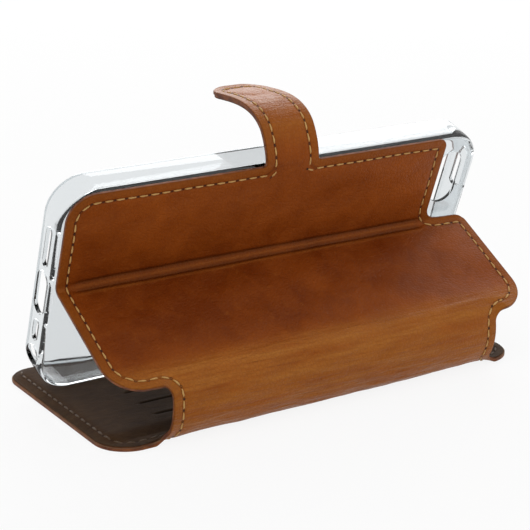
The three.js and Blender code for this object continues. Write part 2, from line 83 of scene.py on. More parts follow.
def smooth(value: Array, low: float, high: float) -> Array:
    """Rise smoothly from 0 at low to 1 at high.

    Args:
        value: Where to read the curve.
        low: The value at which the result is 0.
        high: The value at which the result is 1.

    Returns:
        Numbers from 0 to 1.
    """
    t = np.clip((np.asarray(value, float) - low) / (high - low), 0, 1)
    return t * t * (3 - 2 * t)


def bell(value: Array, middle: float, width: float) -> Array:
    """Give a soft bump of height 1 at middle, with the given half width."""
    return np.exp(-(((np.asarray(value, float) - middle) / width) ** 2))


# ---------------------------------------------------------------------------------------------
# Shape of the case
# ---------------------------------------------------------------------------------------------


@dataclass(frozen=True)
class CaseSizes:
    """Sizes of the leather goods, in millimetres, and the tray's lean, in degrees."""

    half_length: float = 62.7
    cover_depth: float = 57.1
    upper_depth: float = 27.05
    spine_x: float = 2.0
    spine_half: float = 49.3
    spine_lower_pull: float = 9.0
    spine_upper_pull: float = 7.0
    lobe_reach: float = 4.6
    lobe_round: float = 9.2
    lobe_fillet: float = 2.8
    corner_round: float = 7.0
    upper_round: float = 7.6
    notch_x: float = 49.3
    notch_fillet: float = 4.0
    notch_round: float = 2.6
    crease_rise: float = 0.3
    crease_fillet: float = 1.3
    strap_x: float = -0.55
    strap_width: float = 15.5
    strap_end_round: float = 5.6
    strap_fillet: float = 1.0
    strap_rise: float = 20.4
    strap_reach: float = 30.2
    strap_height: float = 14.8
    strap_flat: float = 6.9
    strap_crown: float = -1.7
    strap_start_above: float = 0.3
    lean: float = 20.8
    hide: float = 0.85
    lining_margin: float = 0.3
    stitch_inset: float = 2.6
    stitch_pitch: float = 3.1
    stitch_turn: float = 0.4
    magnet_s: float = 8.4
    magnet_radius: float = 4.8


SIZES = CaseSizes()


def joint_point(name: str) -> Array:
    """Find a joint's place in the Y-Z plane, in millimetres.

    Args:
        name: The joint's name.

    Returns:
        Its y and z.
    """
    joint = next(j for j in frame["joints"] if j["name"] == name)
    return np.array(joint["pos_m"][1:], float) / MM


def bezier(points: list[Array], steps: int) -> Array:
    """Sample a cubic curve.

    Args:
        points: Its start, two handles and end.
        steps: How many steps to take.

    Returns:
        The points along it, one more than the steps.
    """
    t = np.linspace(0, 1, steps + 1)[:, None]
    a, b, c, d = points
    return (1 - t) ** 3 * a + 3 * (1 - t) ** 2 * t * b + 3 * (1 - t) * t**2 * c + t**3 * d


def arc_lengths(points: Array) -> Array:
    """Give the length along a line of points up to each one."""
    steps = np.linalg.norm(np.diff(points, axis=0), axis=1)
    return np.concatenate([[0], np.cumsum(steps)])


class FoldLine:
    """The leather's outside face as a line in the Y-Z plane, which s measures along."""

    SPINE_STEPS = 160
    STRAP_STEPS = 260
    ROOT_STEPS = 60
    ROOT_PULL = 2.6
    SPARE = 3.0
    SPACING = 0.05

    def __init__(self, sizes: CaseSizes) -> None:
        """Join the cover, spine, back panel and strap into one line.

        Args:
            sizes: The case's sizes.
        """
        fold, kick, crease = map(joint_point, ("stand_fold", "cover_fold", "back_crease"))
        along_kick = (crease - kick) / np.linalg.norm(crease - kick)
        lean = math.radians(sizes.lean)
        up = np.array([-math.sin(lean), math.cos(lean)])
        top = crease + up * sizes.upper_depth
        spine = bezier(
            [
                fold,
                fold + np.array([-sizes.spine_lower_pull, 0]),
                kick - along_kick * sizes.spine_upper_pull,
                kick,
            ],
            self.SPINE_STEPS,
        )
        far = fold + np.array([sizes.cover_depth + self.SPARE, 0])
        valley = self._valley(crease, along_kick, up, sizes.crease_fillet)
        strap = self._strap(top, up, sizes)
        points = np.vstack([[far], spine, valley, [top - up * 2], strap])
        lengths = arc_lengths(points)
        self.spine_end = float(arc_lengths(spine)[-1])
        offset = lengths[1]
        self.crease = self.spine_end + float(np.linalg.norm(crease - kick))
        raw = lengths - offset
        # The valley's arc is shorter than its corner, so s is stretched a little over it.
        first = 1 + len(spine)
        shortfall = self.crease + sizes.upper_depth - 2 - raw[first + len(valley)]
        raw[first + len(valley) :] += shortfall
        reach = sizes.crease_fillet * math.tan(self._turn(along_kick, up) / 2)
        raw[first : first + len(valley)] = np.linspace(
            self.crease - reach, self.crease + reach, len(valley)
        )
        self.top = self.crease + sizes.upper_depth
        self.end = float(raw[-1])
        self.s = np.arange(raw[0], self.end + self.SPARE, self.SPACING)
        self.y = np.interp(self.s, raw, points[:, 0])
        self.z = np.interp(self.s, raw, points[:, 1])
        slope_y = np.gradient(self.y)
        slope_z = np.gradient(self.z)
        tail = self.s > self.end - 0.1
        slope_y[tail], slope_z[tail] = slope_y[~tail][-1], slope_z[~tail][-1]
        kernel = np.ones(9) / 9
        angle = np.unwrap(np.arctan2(slope_z, slope_y))
        padded = np.concatenate([np.full(4, angle[0]), angle, np.full(4, angle[-1])])
        self.angle = np.convolve(padded, kernel, "valid")

    @staticmethod
    def _turn(a: Array, b: Array) -> float:
        """Give the angle between two directions, in radians."""
        return math.acos(float(np.clip(a @ b, -1, 1)))

    def _valley(self, corner: Array, before: Array, after: Array, radius: float) -> Array:
        """Round the crease with an arc.

        Args:
            corner: The sharp corner.
            before: The direction into it.
            after: The direction out of it.
            radius: The arc's radius.

        Returns:
            The arc's points.
        """
        turn = self._turn(before, after)
        reach = radius * math.tan(turn / 2)
        start = corner - before * reach
        normal = np.array([-before[1], before[0]])
        centre = start + normal * radius
        angles = np.linspace(0, turn, 13)
        first = start - centre
        cos, sin = np.cos(angles), np.sin(angles)
        return centre + np.stack(
            [first[0] * cos - first[1] * sin, first[0] * sin + first[1] * cos], axis=1
        )

    def _strap(self, top: Array, up: Array, sizes: CaseSizes) -> Array:
        """Give the strap's line, which leaves the back panel in its own plane.

        Args:
            top: The middle of the panel's top edge, in the Y-Z plane.
            up: The panel's direction.
            sizes: The case's sizes.

        Returns:
            Its points from the panel's top to the tip.
        """
        start = top + up * sizes.strap_start_above
        end = start + np.array([sizes.strap_reach, sizes.strap_height])
        curve = bezier(
            [
                start,
                start + np.array([0, sizes.strap_rise]),
                end + np.array([-sizes.strap_flat, sizes.strap_crown]),
                end,
            ],
            self.STRAP_STEPS,
        )
        join = self.ROOT_STEPS
        tangent = curve[join + 1] - curve[join]
        tangent /= np.linalg.norm(tangent)
        handles = [top + up * self.ROOT_PULL, curve[join] - tangent * self.ROOT_PULL]
        root = bezier([top, *handles, curve[join]], join)
        return np.vstack([root, curve[join + 1 :]])

    def place(self, x: Array, s: Array, depth: Array) -> Array:
        """Turn places on the sheet into places in the row's frame.

        Args:
            x: Along the case, in millimetres.
            s: Along the leather, in millimetres.
            depth: Inwards from the outside face, in millimetres.

        Returns:
            Points in metres, with x, y and z on the last axis.
        """
        angle = np.interp(s, self.s, self.angle)
        y = np.interp(s, self.s, self.y) + np.sin(angle) * depth
        z = np.interp(s, self.s, self.z) - np.cos(angle) * depth
        return np.stack(np.broadcast_arrays(x, y, z), axis=-1) * MM

    def flat_place(self, x: Array, s: Array, depth: Array, anchor: float, sign: int) -> Array:
        """Place points in the flat plane of a panel, past the fold where it ends.

        Args:
            x: Along the case, in millimetres.
            s: Along the leather, in millimetres.
            depth: Inwards from the outside face, in millimetres.
            anchor: The fold's s.
            sign: 1 where the panel lies after the fold, -1 where it lies before it.

        Returns:
            Points in metres.
        """
        angle = float(np.interp(anchor + sign * 0.5, self.s, self.angle))
        y0 = float(np.interp(anchor, self.s, self.y))
        z0 = float(np.interp(anchor, self.s, self.z))
        run = np.asarray(s, float) - anchor
        y = y0 + math.cos(angle) * run + math.sin(angle) * depth
        z = z0 + math.sin(angle) * run - math.cos(angle) * depth
        return np.stack(np.broadcast_arrays(x, y, z), axis=-1) * MM


@dataclass(frozen=True)
class Corner:
    """A corner of an outline, with the radius that rounds it."""

    x: float
    s: float
    r: float = 0.0


class Outline:
    """A closed outline on the sheet, with rounded corners."""

    def __init__(self, corners: list[Corner]) -> None:
        """Keep the corners and sample the outline.

        Args:
            corners: The corners in anticlockwise order.
        """
        self.corners = corners
        self.points = self._sample()

    def _sample(self) -> Array:
        """Give the outline's points, with an arc at each rounded corner."""
        points = []
        count = len(self.corners)
        for i, corner in enumerate(self.corners):
            here = np.array([corner.x, corner.s])
            before = self.corners[i - 1]
            after = self.corners[(i + 1) % count]
            a = np.array([before.x, before.s]) - here
            b = np.array([after.x, after.s]) - here
            a, b = a / np.linalg.norm(a), b / np.linalg.norm(b)
            if corner.r <= 0:
                points.append(here)
                continue
            half = math.acos(float(np.clip(a @ b, -1, 1))) / 2
            reach = corner.r / math.tan(half)
            start, end = here + a * reach, here + b * reach
            middle = here + (a + b) / np.linalg.norm(a + b) * corner.r / math.sin(half)
            first = math.atan2(*(start - middle)[::-1])
            last = math.atan2(*(end - middle)[::-1])
            sweep = (last - first + math.pi) % (2 * math.pi) - math.pi
            for t in np.linspace(0, 1, 19):
                angle = first + sweep * t
                points.append(middle + corner.r * np.array([math.cos(angle), math.sin(angle)]))
        return np.array(points)

    def inset(self, amount: float) -> "Outline":
        """Give the outline moved inwards, with its arcs kept concentric.

        Args:
            amount: How far to move it.

        Returns:
            The new outline.
        """
        count = len(self.corners)
        moved = []
        for i, corner in enumerate(self.corners):
            before = self.corners[i - 1]
            after = self.corners[(i + 1) % count]
            a = np.array([corner.x - before.x, corner.s - before.s])
            b = np.array([after.x - corner.x, after.s - corner.s])
            a, b = a / np.linalg.norm(a), b / np.linalg.norm(b)
            scale = amount / (1 + a @ b)
            outer = a[0] * b[1] - a[1] * b[0] > 0
            radius = corner.r + (-amount if outer else amount) if corner.r else 0
            moved.append(
                Corner(
                    corner.x + (-a[1] - b[1]) * scale,
                    corner.s + (a[0] + b[0]) * scale,
                    max(radius, 0.0),
                )
            )
        return Outline(moved)

    def distance(self, x: Array, s: Array) -> Array:
        """Give each place's distance from the outline, in millimetres.

        Args:
            x: Along the case.
            s: Along the leather.

        Returns:
            The distances, in the shape of x.
        """
        flat = np.stack([np.ravel(x), np.ravel(s)], axis=1)
        starts = self.points
        ends = np.roll(self.points, -1, axis=0)
        along = ends - starts
        squared = np.maximum((along**2).sum(axis=1), 1e-12)
        best = np.full(len(flat), 1e9)
        for start, step, length in zip(starts, along, squared):
            t = np.clip(((flat - start) @ step) / length, 0, 1)
            gap = flat - start - t[:, None] * step
            best = np.minimum(best, (gap**2).sum(axis=1))
        return np.sqrt(best).reshape(np.shape(x))

    def span(self, s: float) -> tuple[float, float]:
        """Give the outline's least and greatest x at one s.

        Args:
            s: Along the leather.

        Returns:
            The two values of x.
        """
        starts = self.points
        ends = np.roll(self.points, -1, axis=0)
        low = np.minimum(starts[:, 1], ends[:, 1])
        high = np.maximum(starts[:, 1], ends[:, 1])
        hit = (low <= s) & (high >= s) & (high > low)
        t = (s - starts[hit, 1]) / (ends[hit, 1] - starts[hit, 1])
        x = starts[hit, 0] + t * (ends[hit, 0] - starts[hit, 0])
        return float(x.min()), float(x.max())


def case_outline(line: FoldLine, sizes: CaseSizes) -> Outline:
    """Draw the outline of the whole sheet, from the cover's far edge to the strap's tip.

    Args:
        line: The fold line, for where the folds are.
        sizes: The case's sizes.

    Returns:
        The outline.
    """
    half = sizes.half_length
    spine_left, spine_right = sizes.spine_x - sizes.spine_half, sizes.spine_x + sizes.spine_half
    low_lobe = sizes.lobe_reach
    high_lobe = line.spine_end - sizes.lobe_reach
    crease = line.crease + sizes.crease_rise
    strap_left = sizes.strap_x - sizes.strap_width / 2
    strap_right = sizes.strap_x + sizes.strap_width / 2
    right = [
        Corner(half, -sizes.cover_depth, sizes.corner_round),
        Corner(half, low_lobe, sizes.lobe_round),
        Corner(spine_right, low_lobe + 0.02, sizes.lobe_fillet),
        Corner(spine_right, high_lobe - 0.02, sizes.lobe_fillet),
        Corner(half, high_lobe, sizes.lobe_round),
        Corner(half, crease, sizes.notch_round),
        Corner(sizes.notch_x, crease + 0.4, sizes.notch_fillet),
        Corner(sizes.notch_x, line.top, sizes.notch_round),
        Corner(strap_right, line.top, sizes.strap_fillet),
        Corner(strap_right, line.end, sizes.strap_end_round),
    ]
    left = [
        Corner(strap_left, line.end, sizes.strap_end_round),
        Corner(strap_left, line.top, sizes.strap_fillet),
        Corner(-half, line.top, sizes.upper_round),
        Corner(-half, high_lobe, sizes.lobe_round),
        Corner(spine_left, high_lobe - 0.02, sizes.lobe_fillet),
        Corner(spine_left, low_lobe + 0.02, sizes.lobe_fillet),
        Corner(-half, low_lobe, sizes.lobe_round),
        Corner(-half, -sizes.cover_depth, sizes.corner_round),
    ]
    return Outline(right + left)


class Ripple:
    """A smooth random relief made of a fixed set of waves."""

    def __init__(self, seed: int, x_length: float, s_length: float, waves: int = 14) -> None:
        """Choose the waves.

        Args:
            seed: Which set of waves.
            x_length: Their usual length along x, in millimetres.
            s_length: Their usual length along s, in millimetres.
            waves: How many.
        """
        rng = np.random.default_rng(seed)
        self.kx = rng.normal(0, 2 * math.pi / x_length, waves)
        self.ks = rng.normal(0, 2 * math.pi / s_length, waves)
        self.phase = rng.uniform(0, 2 * math.pi, waves)

    def at(self, x: Array, s: Array) -> Array:
        """Read the relief.

        Args:
            x: Along the case.
            s: Along the leather.

        Returns:
            Heights, mostly between -1 and 1.
        """
        total = np.zeros(np.shape(x))
        for kx, ks, phase in zip(self.kx, self.ks, self.phase):
            total = total + np.sin(kx * x + ks * s + phase)
        return total / math.sqrt(len(self.kx) / 2) / 1.6


# ---------------------------------------------------------------------------------------------
# Leather sheet
# ---------------------------------------------------------------------------------------------


class Layer(Enum):
    """Which layer of the sheet a piece is."""

    HIDE = "hide"
    LINING = "lining"


@dataclass(frozen=True)
class Region:
    """A stretch of the sheet that moves in one way.

    A region with one body rides on it. A region with two lies between those bodies and stays where
    it is made.
    """

    name: str
    low: float
    high: float
    step: float
    bodies: tuple[str, ...]
    hide_nodes: tuple[str, ...] = ()
    lining_nodes: tuple[str, ...] = ()
    thread_nodes: tuple[str, ...] = ()
    open_low: bool = False
    open_high: bool = False
    lobes: int = 0


@dataclass
class Patch:
    """A grid of places on the sheet, with rows along x."""

    x: Array
    s: Array


@dataclass
class SheetRelief:
    """The heights that the leather has from its stitching, folds and wear, in millimetres."""

    line: FoldLine
    sizes: CaseSizes
    edge_roll: float = 0.24
    channel: float = 0.15
    channel_width: float = 0.55
    groove: float = 0.36
    groove_offset: float = 1.25
    groove_width: float = 0.56
    ridge: float = 0.1
    swell: float = 0.16
    wrinkle: float = 0.1
    fold_dip: float = 0.16
    magnet_lift: float = 0.16
    lining_roll: float = 0.22
    lining_channel: float = 0.1
    broad: Ripple = field(default_factory=lambda: Ripple(4, 34, 22))
    fine: Ripple = field(default_factory=lambda: Ripple(9, 16, 2.3, 22))

    def spine_mask(self, s: Array) -> Array:
        """Give 1 on the spine and 0 on the panels."""
        end = self.line.spine_end
        return smooth(s, 0.0, 4.0) * (1 - smooth(s, end - 3, end + 2))

    def crease_mask(self, x: Array) -> Array:
        """Give 1 where the pressed crease runs, which stops short of both edges."""
        return smooth(x, -60.2, -55.5) * (1 - smooth(x, 45.2, 48.6))

    def grooves(self, x: Array, s: Array) -> Array:
        """Give 1 in the crease's two pressed grooves."""
        d = np.asarray(s) - self.line.crease
        both = bell(d, self.groove_offset, self.groove_width)
        both = both + bell(d, -self.groove_offset, self.groove_width)
        return both * self.crease_mask(x)

    def wear(self, x: Array, s: Array) -> Array:
        """Give how far the hide is lightened, from 0 to 1: by bending, and by a painted highlight
        below the crease.
        """
        d = np.asarray(s) - self.line.crease
        # The band 2.3 mm below the crease is a painted highlight.
        crease = (0.26 * bell(d, 0, 0.4) + 0.34 * bell(d, -2.3, 0.55)) * self.crease_mask(x)
        fold = 0.5 * bell(s, self.line.spine_end + 0.5, 2.2)
        strap = smooth(s, self.line.top + 2, self.line.top + 12) * 0.55
        return np.clip(self.spine_mask(s) * 0.9 + crease + fold + strap, 0, 1)

    def shade(self, x: Array, s: Array) -> Array:
        """Give the painted shade over the kick panel, which faces up, weaker towards its +x end,
        from 0 to 1.
        """
        kick = smooth(s, self.line.spine_end - 1, self.line.spine_end + 9)
        kick = kick * (1 - smooth(s, self.line.crease - 1, self.line.crease + 9))
        return np.clip(kick * (1 - 0.35 * smooth(x, 20, 62)), 0, 1)

    def hide_depth(self, x: Array, s: Array, d: Array) -> Array:
        """Give the outside face's depth.

        Args:
            x: Along the case.
            s: Along the leather.
            d: The distance from the outline.

        Returns:
            Depths below the plain face.
        """
        t = 1 - np.minimum(d, self.edge_roll) / self.edge_roll
        roll = self.edge_roll * (1 - np.sqrt(1 - t * t))
        inside = smooth(d, 0.6, 5.0)
        depth = roll + self.channel * bell(d, self.sizes.stitch_inset, self.channel_width)
        depth = depth + self.groove * self.grooves(x, s)
        crease = np.asarray(s) - self.line.crease
        depth = depth - self.ridge * bell(crease, 0, 0.6) * self.crease_mask(x)
        on_cover = 1 - smooth(s, -3, 0.5)
        depth = depth + (self.swell * inside * self.broad.at(x, s)) * (1 - on_cover)
        soft = self.spine_mask(s) + 0.25 * smooth(s, self.line.top, self.line.top + 6)
        depth = depth + self.wrinkle * soft * self.fine.at(x, s) * smooth(d, 0.2, 2.0)
        fold = bell(s, self.line.spine_end + 0.9, 0.55)
        fold = fold * (1 - smooth(np.abs(x - self.sizes.spine_x), 46, 49))
        depth = depth + self.fold_dip * fold
        spot = np.hypot(x - self.sizes.strap_x, s - (self.line.end - self.sizes.magnet_s))
        radius = self.sizes.magnet_radius
        lift = 1 - smooth(spot, radius - 0.4, radius + 0.7)
        return depth - self.magnet_lift * lift

    def lining_faces(self, x: Array, s: Array, d: Array) -> tuple[Array, Array]:
        """Give the depths of the lining's two faces.

        Args:
            x: Along the case.
            s: Along the leather.
            d: The distance from the outline.

        Returns:
            The hidden face's depth and the inside face's depth.
        """
        end = self.line.spine_end
        on_cover = 1 - smooth(s, -3.4, 0.4)
        top = self.line.top
        on_back = smooth(s, end - 0.6, end + 3.0) * (1 - smooth(s, top - 3, top))
        on_strap = smooth(s, top - 1, top + 1)
        deep = 0.91 + 1.13 * on_cover + 0.51 * on_back
        thickness = 0.4 + 0.45 * on_strap
        pinch = smooth(d, 0.2, 3.6)
        outer = 0.88 + (deep - 0.88) * pinch
        t = 1 - np.minimum(d, self.lining_roll) / self.lining_roll
        roll = self.lining_roll * (1 - np.sqrt(1 - t * t))
        stitched = self.sizes.stitch_inset - self.sizes.lining_margin
        channel = self.lining_channel * bell(d, stitched, 0.5)
        inner = outer + thickness - roll - channel - self.mouth_relief(x, s)
        return outer, inner

    def mouth_relief(self, x: Array, s: Array) -> Array:
        """Give how far the cover's lining dips at the card pockets' mouths, in millimetres."""
        along = 1 - smooth(np.abs(x), 43.4, 44.2)
        total = np.zeros(np.shape(x))
        for mouth in MOUTHS:
            d = np.asarray(s) - mouth
            total = total + 0.3 * bell(d, 0, 0.24) - 0.12 * bell(d, -0.75, 0.5)
        return total * along

    def mouth_shade(self, x: Array, s: Array) -> Array:
        """Give the painted shade inside a pocket's mouth: 1 there and 0 elsewhere."""
        along = 1 - smooth(np.abs(x), 43.6, 44.2)
        return sum(bell(np.asarray(s) - mouth, 0, 0.28) for mouth in MOUTHS) * along


MOUTHS = (-8.3, -16.3, -24.3)


class Sheet:
    """The leather sheet: makes its hide, lining and stitches, region by region."""

    EDGE_STEPS = np.array(
        [0, 0.05, 0.12, 0.22, 0.36, 0.6, 1.0, 1.5, 2.0, 2.35, 2.6, 2.85, 3.3, 4.2]
    )
    MOUTH_STEPS = np.array([-1.6, -1.1, -0.75, -0.45, -0.24, -0.1, 0, 0.1, 0.24, 0.45])
    WEB_STEPS = np.array([0.02, 0.08, 0.18, 0.32, 0.5, 0.7, 0.86, 0.97])
    COLUMN_STEP = {True: 1.15, False: 0.7}
    LOBE_COLUMNS = 12
    CREASE_BAND = 5.0
    CREASE_BEND = 3.6
    STITCH_SHARE = 0.39
    MAGNET_FACES = (0.92, 1.42)
    LOBE_EASE = 3.4

    def __init__(self, sizes: CaseSizes, finishes: "Finishes") -> None:
        """Work out the fold line, outlines and regions.

        Args:
            sizes: The case's sizes.
            finishes: The materials.
        """
        self.sizes = sizes
        self.finishes = finishes
        self.line = FoldLine(sizes)
        self.outline = case_outline(self.line, sizes)
        self.lining_outline = self.outline.inset(sizes.lining_margin)
        self.relief = SheetRelief(self.line, sizes)
        self.bend_s = self._s_of(joint_point("strap_bend"))
        self.regions = self._regions()

    def _s_of(self, point: Array) -> float:
        """Find where along the leather a point of the Y-Z plane is."""
        gap = np.hypot(self.line.y - point[0], self.line.z - point[1])
        return float(self.line.s[int(np.argmin(gap))])

    def _regions(self) -> list[Region]:
        """Divide the sheet at its folds."""
        line = self.line
        quarter = line.spine_end / 4
        band = self.CREASE_BAND
        strap_middle = (line.top + self.bend_s) / 2
        low_nodes = ("spine_lower_thread_left", "spine_lower_thread_right")
        high_nodes = ("spine_upper_thread_left", "spine_upper_thread_right")
        kick_nodes = ("kick_panel_thread_left", "kick_panel_thread_right")
        upper_nodes = ("upper_panel_thread_left", "upper_panel_thread_right")
        root_nodes = ("strap_root_thread_left", "strap_root_thread_right")
        return [
            Region(
                "front_cover", -self.sizes.cover_depth, 0, 1.3, ("front_cover",),
                ("front_cover_leather",), ("front_cover_lining",), ("front_cover_thread",),
                open_low=True, lobes=-1,
            ),
            Region(
                "spine_low", 0, quarter, 0.4, ("front_cover", "spine_lower"),
                ("spine_lower_leather",), ("spine_lower_lining",), low_nodes,
            ),
            Region("spine_middle", quarter, 3 * quarter, 0.4, ("spine_lower", "spine_upper")),
            Region(
                "spine_high", 3 * quarter, line.spine_end, 0.4, ("spine_upper", "kick_panel"),
                ("spine_upper_leather",), ("spine_upper_lining",), high_nodes,
            ),
            Region(
                "kick_panel", line.spine_end, line.crease - band, 0.8, ("kick_panel",),
                ("kick_panel_leather",), ("kick_panel_lining",), kick_nodes, lobes=1,
            ),
            Region("crease", line.crease - band, line.crease + band, 0.22, ("kick_panel", "tray")),
            Region(
                "upper_panel", line.crease + band, line.top, 0.9, ("tray",),
                ("upper_panel_leather",), ("upper_panel_lining",), upper_nodes, open_high=True,
            ),
            Region(
                "strap_root", line.top, strap_middle, 0.4, ("tray", "strap_root"),
                ("strap_root_leather",), ("strap_root_lining",), root_nodes,
            ),
            Region(
                "strap_tip", strap_middle, line.end, 0.5, ("strap_root", "strap_tip"),
                ("strap_tip_leather",), ("strap_tip_lining",), ("strap_tip_thread",),
                open_high=True,
            ),
        ]  # fmt: skip

    def point(self, x: Array, s: Array, depth: Array) -> Array:
        """Place points of the sheet, with the panels' lobes kept in the panels' planes.

        Args:
            x: Along the case.
            s: Along the leather.
            depth: Inwards from the outside face.

        Returns:
            Points in metres.
        """
        x, s, depth = np.broadcast_arrays(np.asarray(x, float), s, depth)
        placed = self.line.place(x, s, depth)
        reach = np.abs(x - self.sizes.spine_x)
        half = self.sizes.spine_half
        flat = smooth(reach, half, half + self.LOBE_EASE)[..., None]
        end = self.line.spine_end
        low = ((s > 0) & (s < end / 2))[..., None]
        high = ((s >= end / 2) & (s < end))[..., None]
        cover_plane = self.line.flat_place(x, s, depth, 0.0, -1)
        kick_plane = self.line.flat_place(x, s, depth, end, 1)
        placed = np.where(low, placed + (cover_plane - placed) * flat, placed)
        return np.where(high, placed + (kick_plane - placed) * flat, placed)

    def _rows(self, region: Region) -> Array:
        """Choose a region's values of s, closer together at its free edges and pocket mouths."""
        steps = self.EDGE_STEPS
        low, high = region.low, region.high
        inner_low = low + steps[-1] if region.open_low else low
        inner_high = high - steps[-1] if region.open_high else high
        count = max(2, int(round((inner_high - inner_low) / region.step)))
        rows = list(np.linspace(inner_low, inner_high, count + 1))
        if region.open_low:
            rows = list(low + steps[:-1]) + rows
        if region.open_high:
            rows = rows + list(high - steps[:-1][::-1])
        for mouth in MOUTHS:
            if region.low < mouth < region.high:
                rows = [r for r in rows if not -1.7 < r - mouth < 0.6]
                rows += list(mouth + self.MOUTH_STEPS)
        return np.array(sorted(rows))

    def _columns(
        self, left: float, right: float, count: int, open_sides: tuple[bool, bool]
    ) -> Array:
        """Choose a row's values of x, closer together at its free edges.

        Args:
            left: The row's least x.
            right: The row's greatest x.
            count: How many steps the inner columns have.
            open_sides: Whether the left and the right side are free edges.

        Returns:
            The values of x, from the left.
        """
        width = right - left
        scale = min(1.0, width / 14)
        low = self.EDGE_STEPS * scale if open_sides[0] else np.array([0.0])
        high = self.EDGE_STEPS * scale if open_sides[1] else np.array([0.0])
        count = max(2, count)
        middle = np.linspace(low[-1], width - high[-1], count + 1)
        return left + np.concatenate([low[:-1], middle, width - high[:-1][::-1]])

    def _patch(self, rows: Array, spans: list[tuple[float, float]], count: int,
               open_sides: tuple[bool, bool]) -> Patch:
        """Lay a grid over rows of the sheet.

        Args:
            rows: The values of s.
            spans: Each row's least and greatest x.
            count: How many steps the inner columns have.
            open_sides: Whether the left and the right side are free edges.

        Returns:
            The grid.
        """
        x = np.array([self._columns(a, b, count, open_sides) for a, b in spans])
        return Patch(x, np.repeat(rows[:, None], x.shape[1], axis=1))

    def patches(self, region: Region, outline: Outline, layer: Layer) -> list[Patch]:
        """Lay grids over a region, with one for each lobe.

        Args:
            region: The region.
            outline: The layer's outline.
            layer: Which layer it is.

        Returns:
            The grids.
        """
        rows = self._rows(region)
        margin = self.sizes.lining_margin if layer is Layer.LINING else 0.0
        rows = np.clip(rows, -self.sizes.cover_depth + margin, self.line.end - margin)
        if region.name == "upper_panel":
            rows = np.clip(rows, None, self.line.top - margin)
        if region.name == "strap_root":
            rows = np.clip(rows, self.line.top - margin, None)
        rows = np.unique(np.round(rows, 5))
        spine = "spine" in region.name
        inside = self.sizes.spine_half - margin
        spans = []
        for s in rows:
            nudge = 1e-4 if s < (rows[0] + rows[-1]) / 2 else -1e-4
            left, right = outline.span(s + nudge)
            middle = self.sizes.spine_x
            spans.append((middle - inside, middle + inside) if spine else (left, right))
        width = max(b - a for a, b in spans)
        count = int(width / self.COLUMN_STEP[width > 20])
        patches = [self._patch(rows, spans, count, (True, True))]
        if region.lobes:
            patches += self._lobe_patches(region, outline, margin)
        return patches

    def _lobe_patches(self, region: Region, outline: Outline, margin: float) -> list[Patch]:
        """Lay grids over a panel's two lobes, which reach past its fold."""
        fold = 0.0 if region.lobes < 0 else self.line.spine_end
        reach = self.sizes.lobe_reach - margin
        web = self.sizes.lobe_fillet + margin
        lobe = reach - self.EDGE_STEPS[::-1][:12] * 0.7
        offsets = np.concatenate([
            np.linspace(0, float(lobe[0]), 5)[:-1], lobe,
            reach + web * self.WEB_STEPS,
        ])  # fmt: skip
        rows = np.unique(np.round(fold - region.lobes * offsets, 5))
        inside = self.sizes.spine_half - margin
        patches = []
        for side, sign in SIDES.items():
            spans = []
            for s in rows:
                left, right = outline.span(float(s))
                root = self.sizes.spine_x + sign * inside
                tip = min(left, root - 0.02) if sign < 0 else max(right, root + 0.02)
                spans.append((min(root, tip), max(root, tip)))
            open_sides = (sign < 0, sign > 0)
            patches.append(self._patch(rows, spans, self.LOBE_COLUMNS, open_sides))
        return patches

    def make_layer(self, region: Region, layer: Layer) -> bpy.types.Object:
        """Make a region's hide or lining as one closed mesh.

        Args:
            region: The region.
            layer: Which layer.

        Returns:
            The object, riding on its body where its region has one.
        """
        outline = self.outline if layer is Layer.HIDE else self.lining_outline
        builder = MeshBuilder(f"{region.name}_{layer.value}_skin")
        for patch in self.patches(region, outline, layer):
            distance = outline.distance(patch.x, patch.s)
            if layer is Layer.HIDE:
                outer = self.relief.hide_depth(patch.x, patch.s, distance)
                inner = np.full(patch.x.shape, self.sizes.hide)
                painted_shade_marks = self.relief.grooves(patch.x, patch.s)
            else:
                outer, inner = self.relief.lining_faces(patch.x, patch.s, distance)
                painted_shade_marks = self.relief.mouth_shade(patch.x, patch.s)
            # The groove fact is painted shade: in the crease's grooves on the hide and in the
            # pocket mouths on the lining.
            facts = {
                "edge": distance,
                "groove": painted_shade_marks,
                # Bending wear, with a painted highlight below the crease.
                "wear": self.relief.wear(patch.x, patch.s),
                # Painted shade over the kick panel.
                "shade": self.relief.shade(patch.x, patch.s),
            }
            front = self.point(patch.x, patch.s, outer)
            back = self.point(patch.x, patch.s, inner)
            builder.add_slab(front, back, patch, facts)
        dressed = self.finishes.for_layer(layer)
        piece = builder.finish(dressed)
        self.attach(piece, region)
        nodes = region.hide_nodes if layer is Layer.HIDE else region.lining_nodes
        if nodes:
            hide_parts(*nodes)
        return piece

    def attach(self, piece: bpy.types.Object, region: Region) -> None:
        """Make a piece ride on its region's body where the region has one; a piece of a region
        with two stays where it is made.

        Args:
            piece: The piece, in place.
            region: Its region.
        """
        if len(region.bodies) == 1:
            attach(piece, region.bodies[0])
            return
        low, high = region.low, region.high
        if region.name == "crease":
            low, high = self.line.crease - self.CREASE_BEND, self.line.crease + self.CREASE_BEND
        if region.name == "strap_root":
            low, high = region.low + 0.1, region.high - 0.2
        if region.name == "strap_tip":
            low, high = region.low + 0.2, 2 * self.bend_s - region.low
        ends = self.line.place(np.zeros(2), np.array([low, high]), np.zeros(2))
        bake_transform(piece)

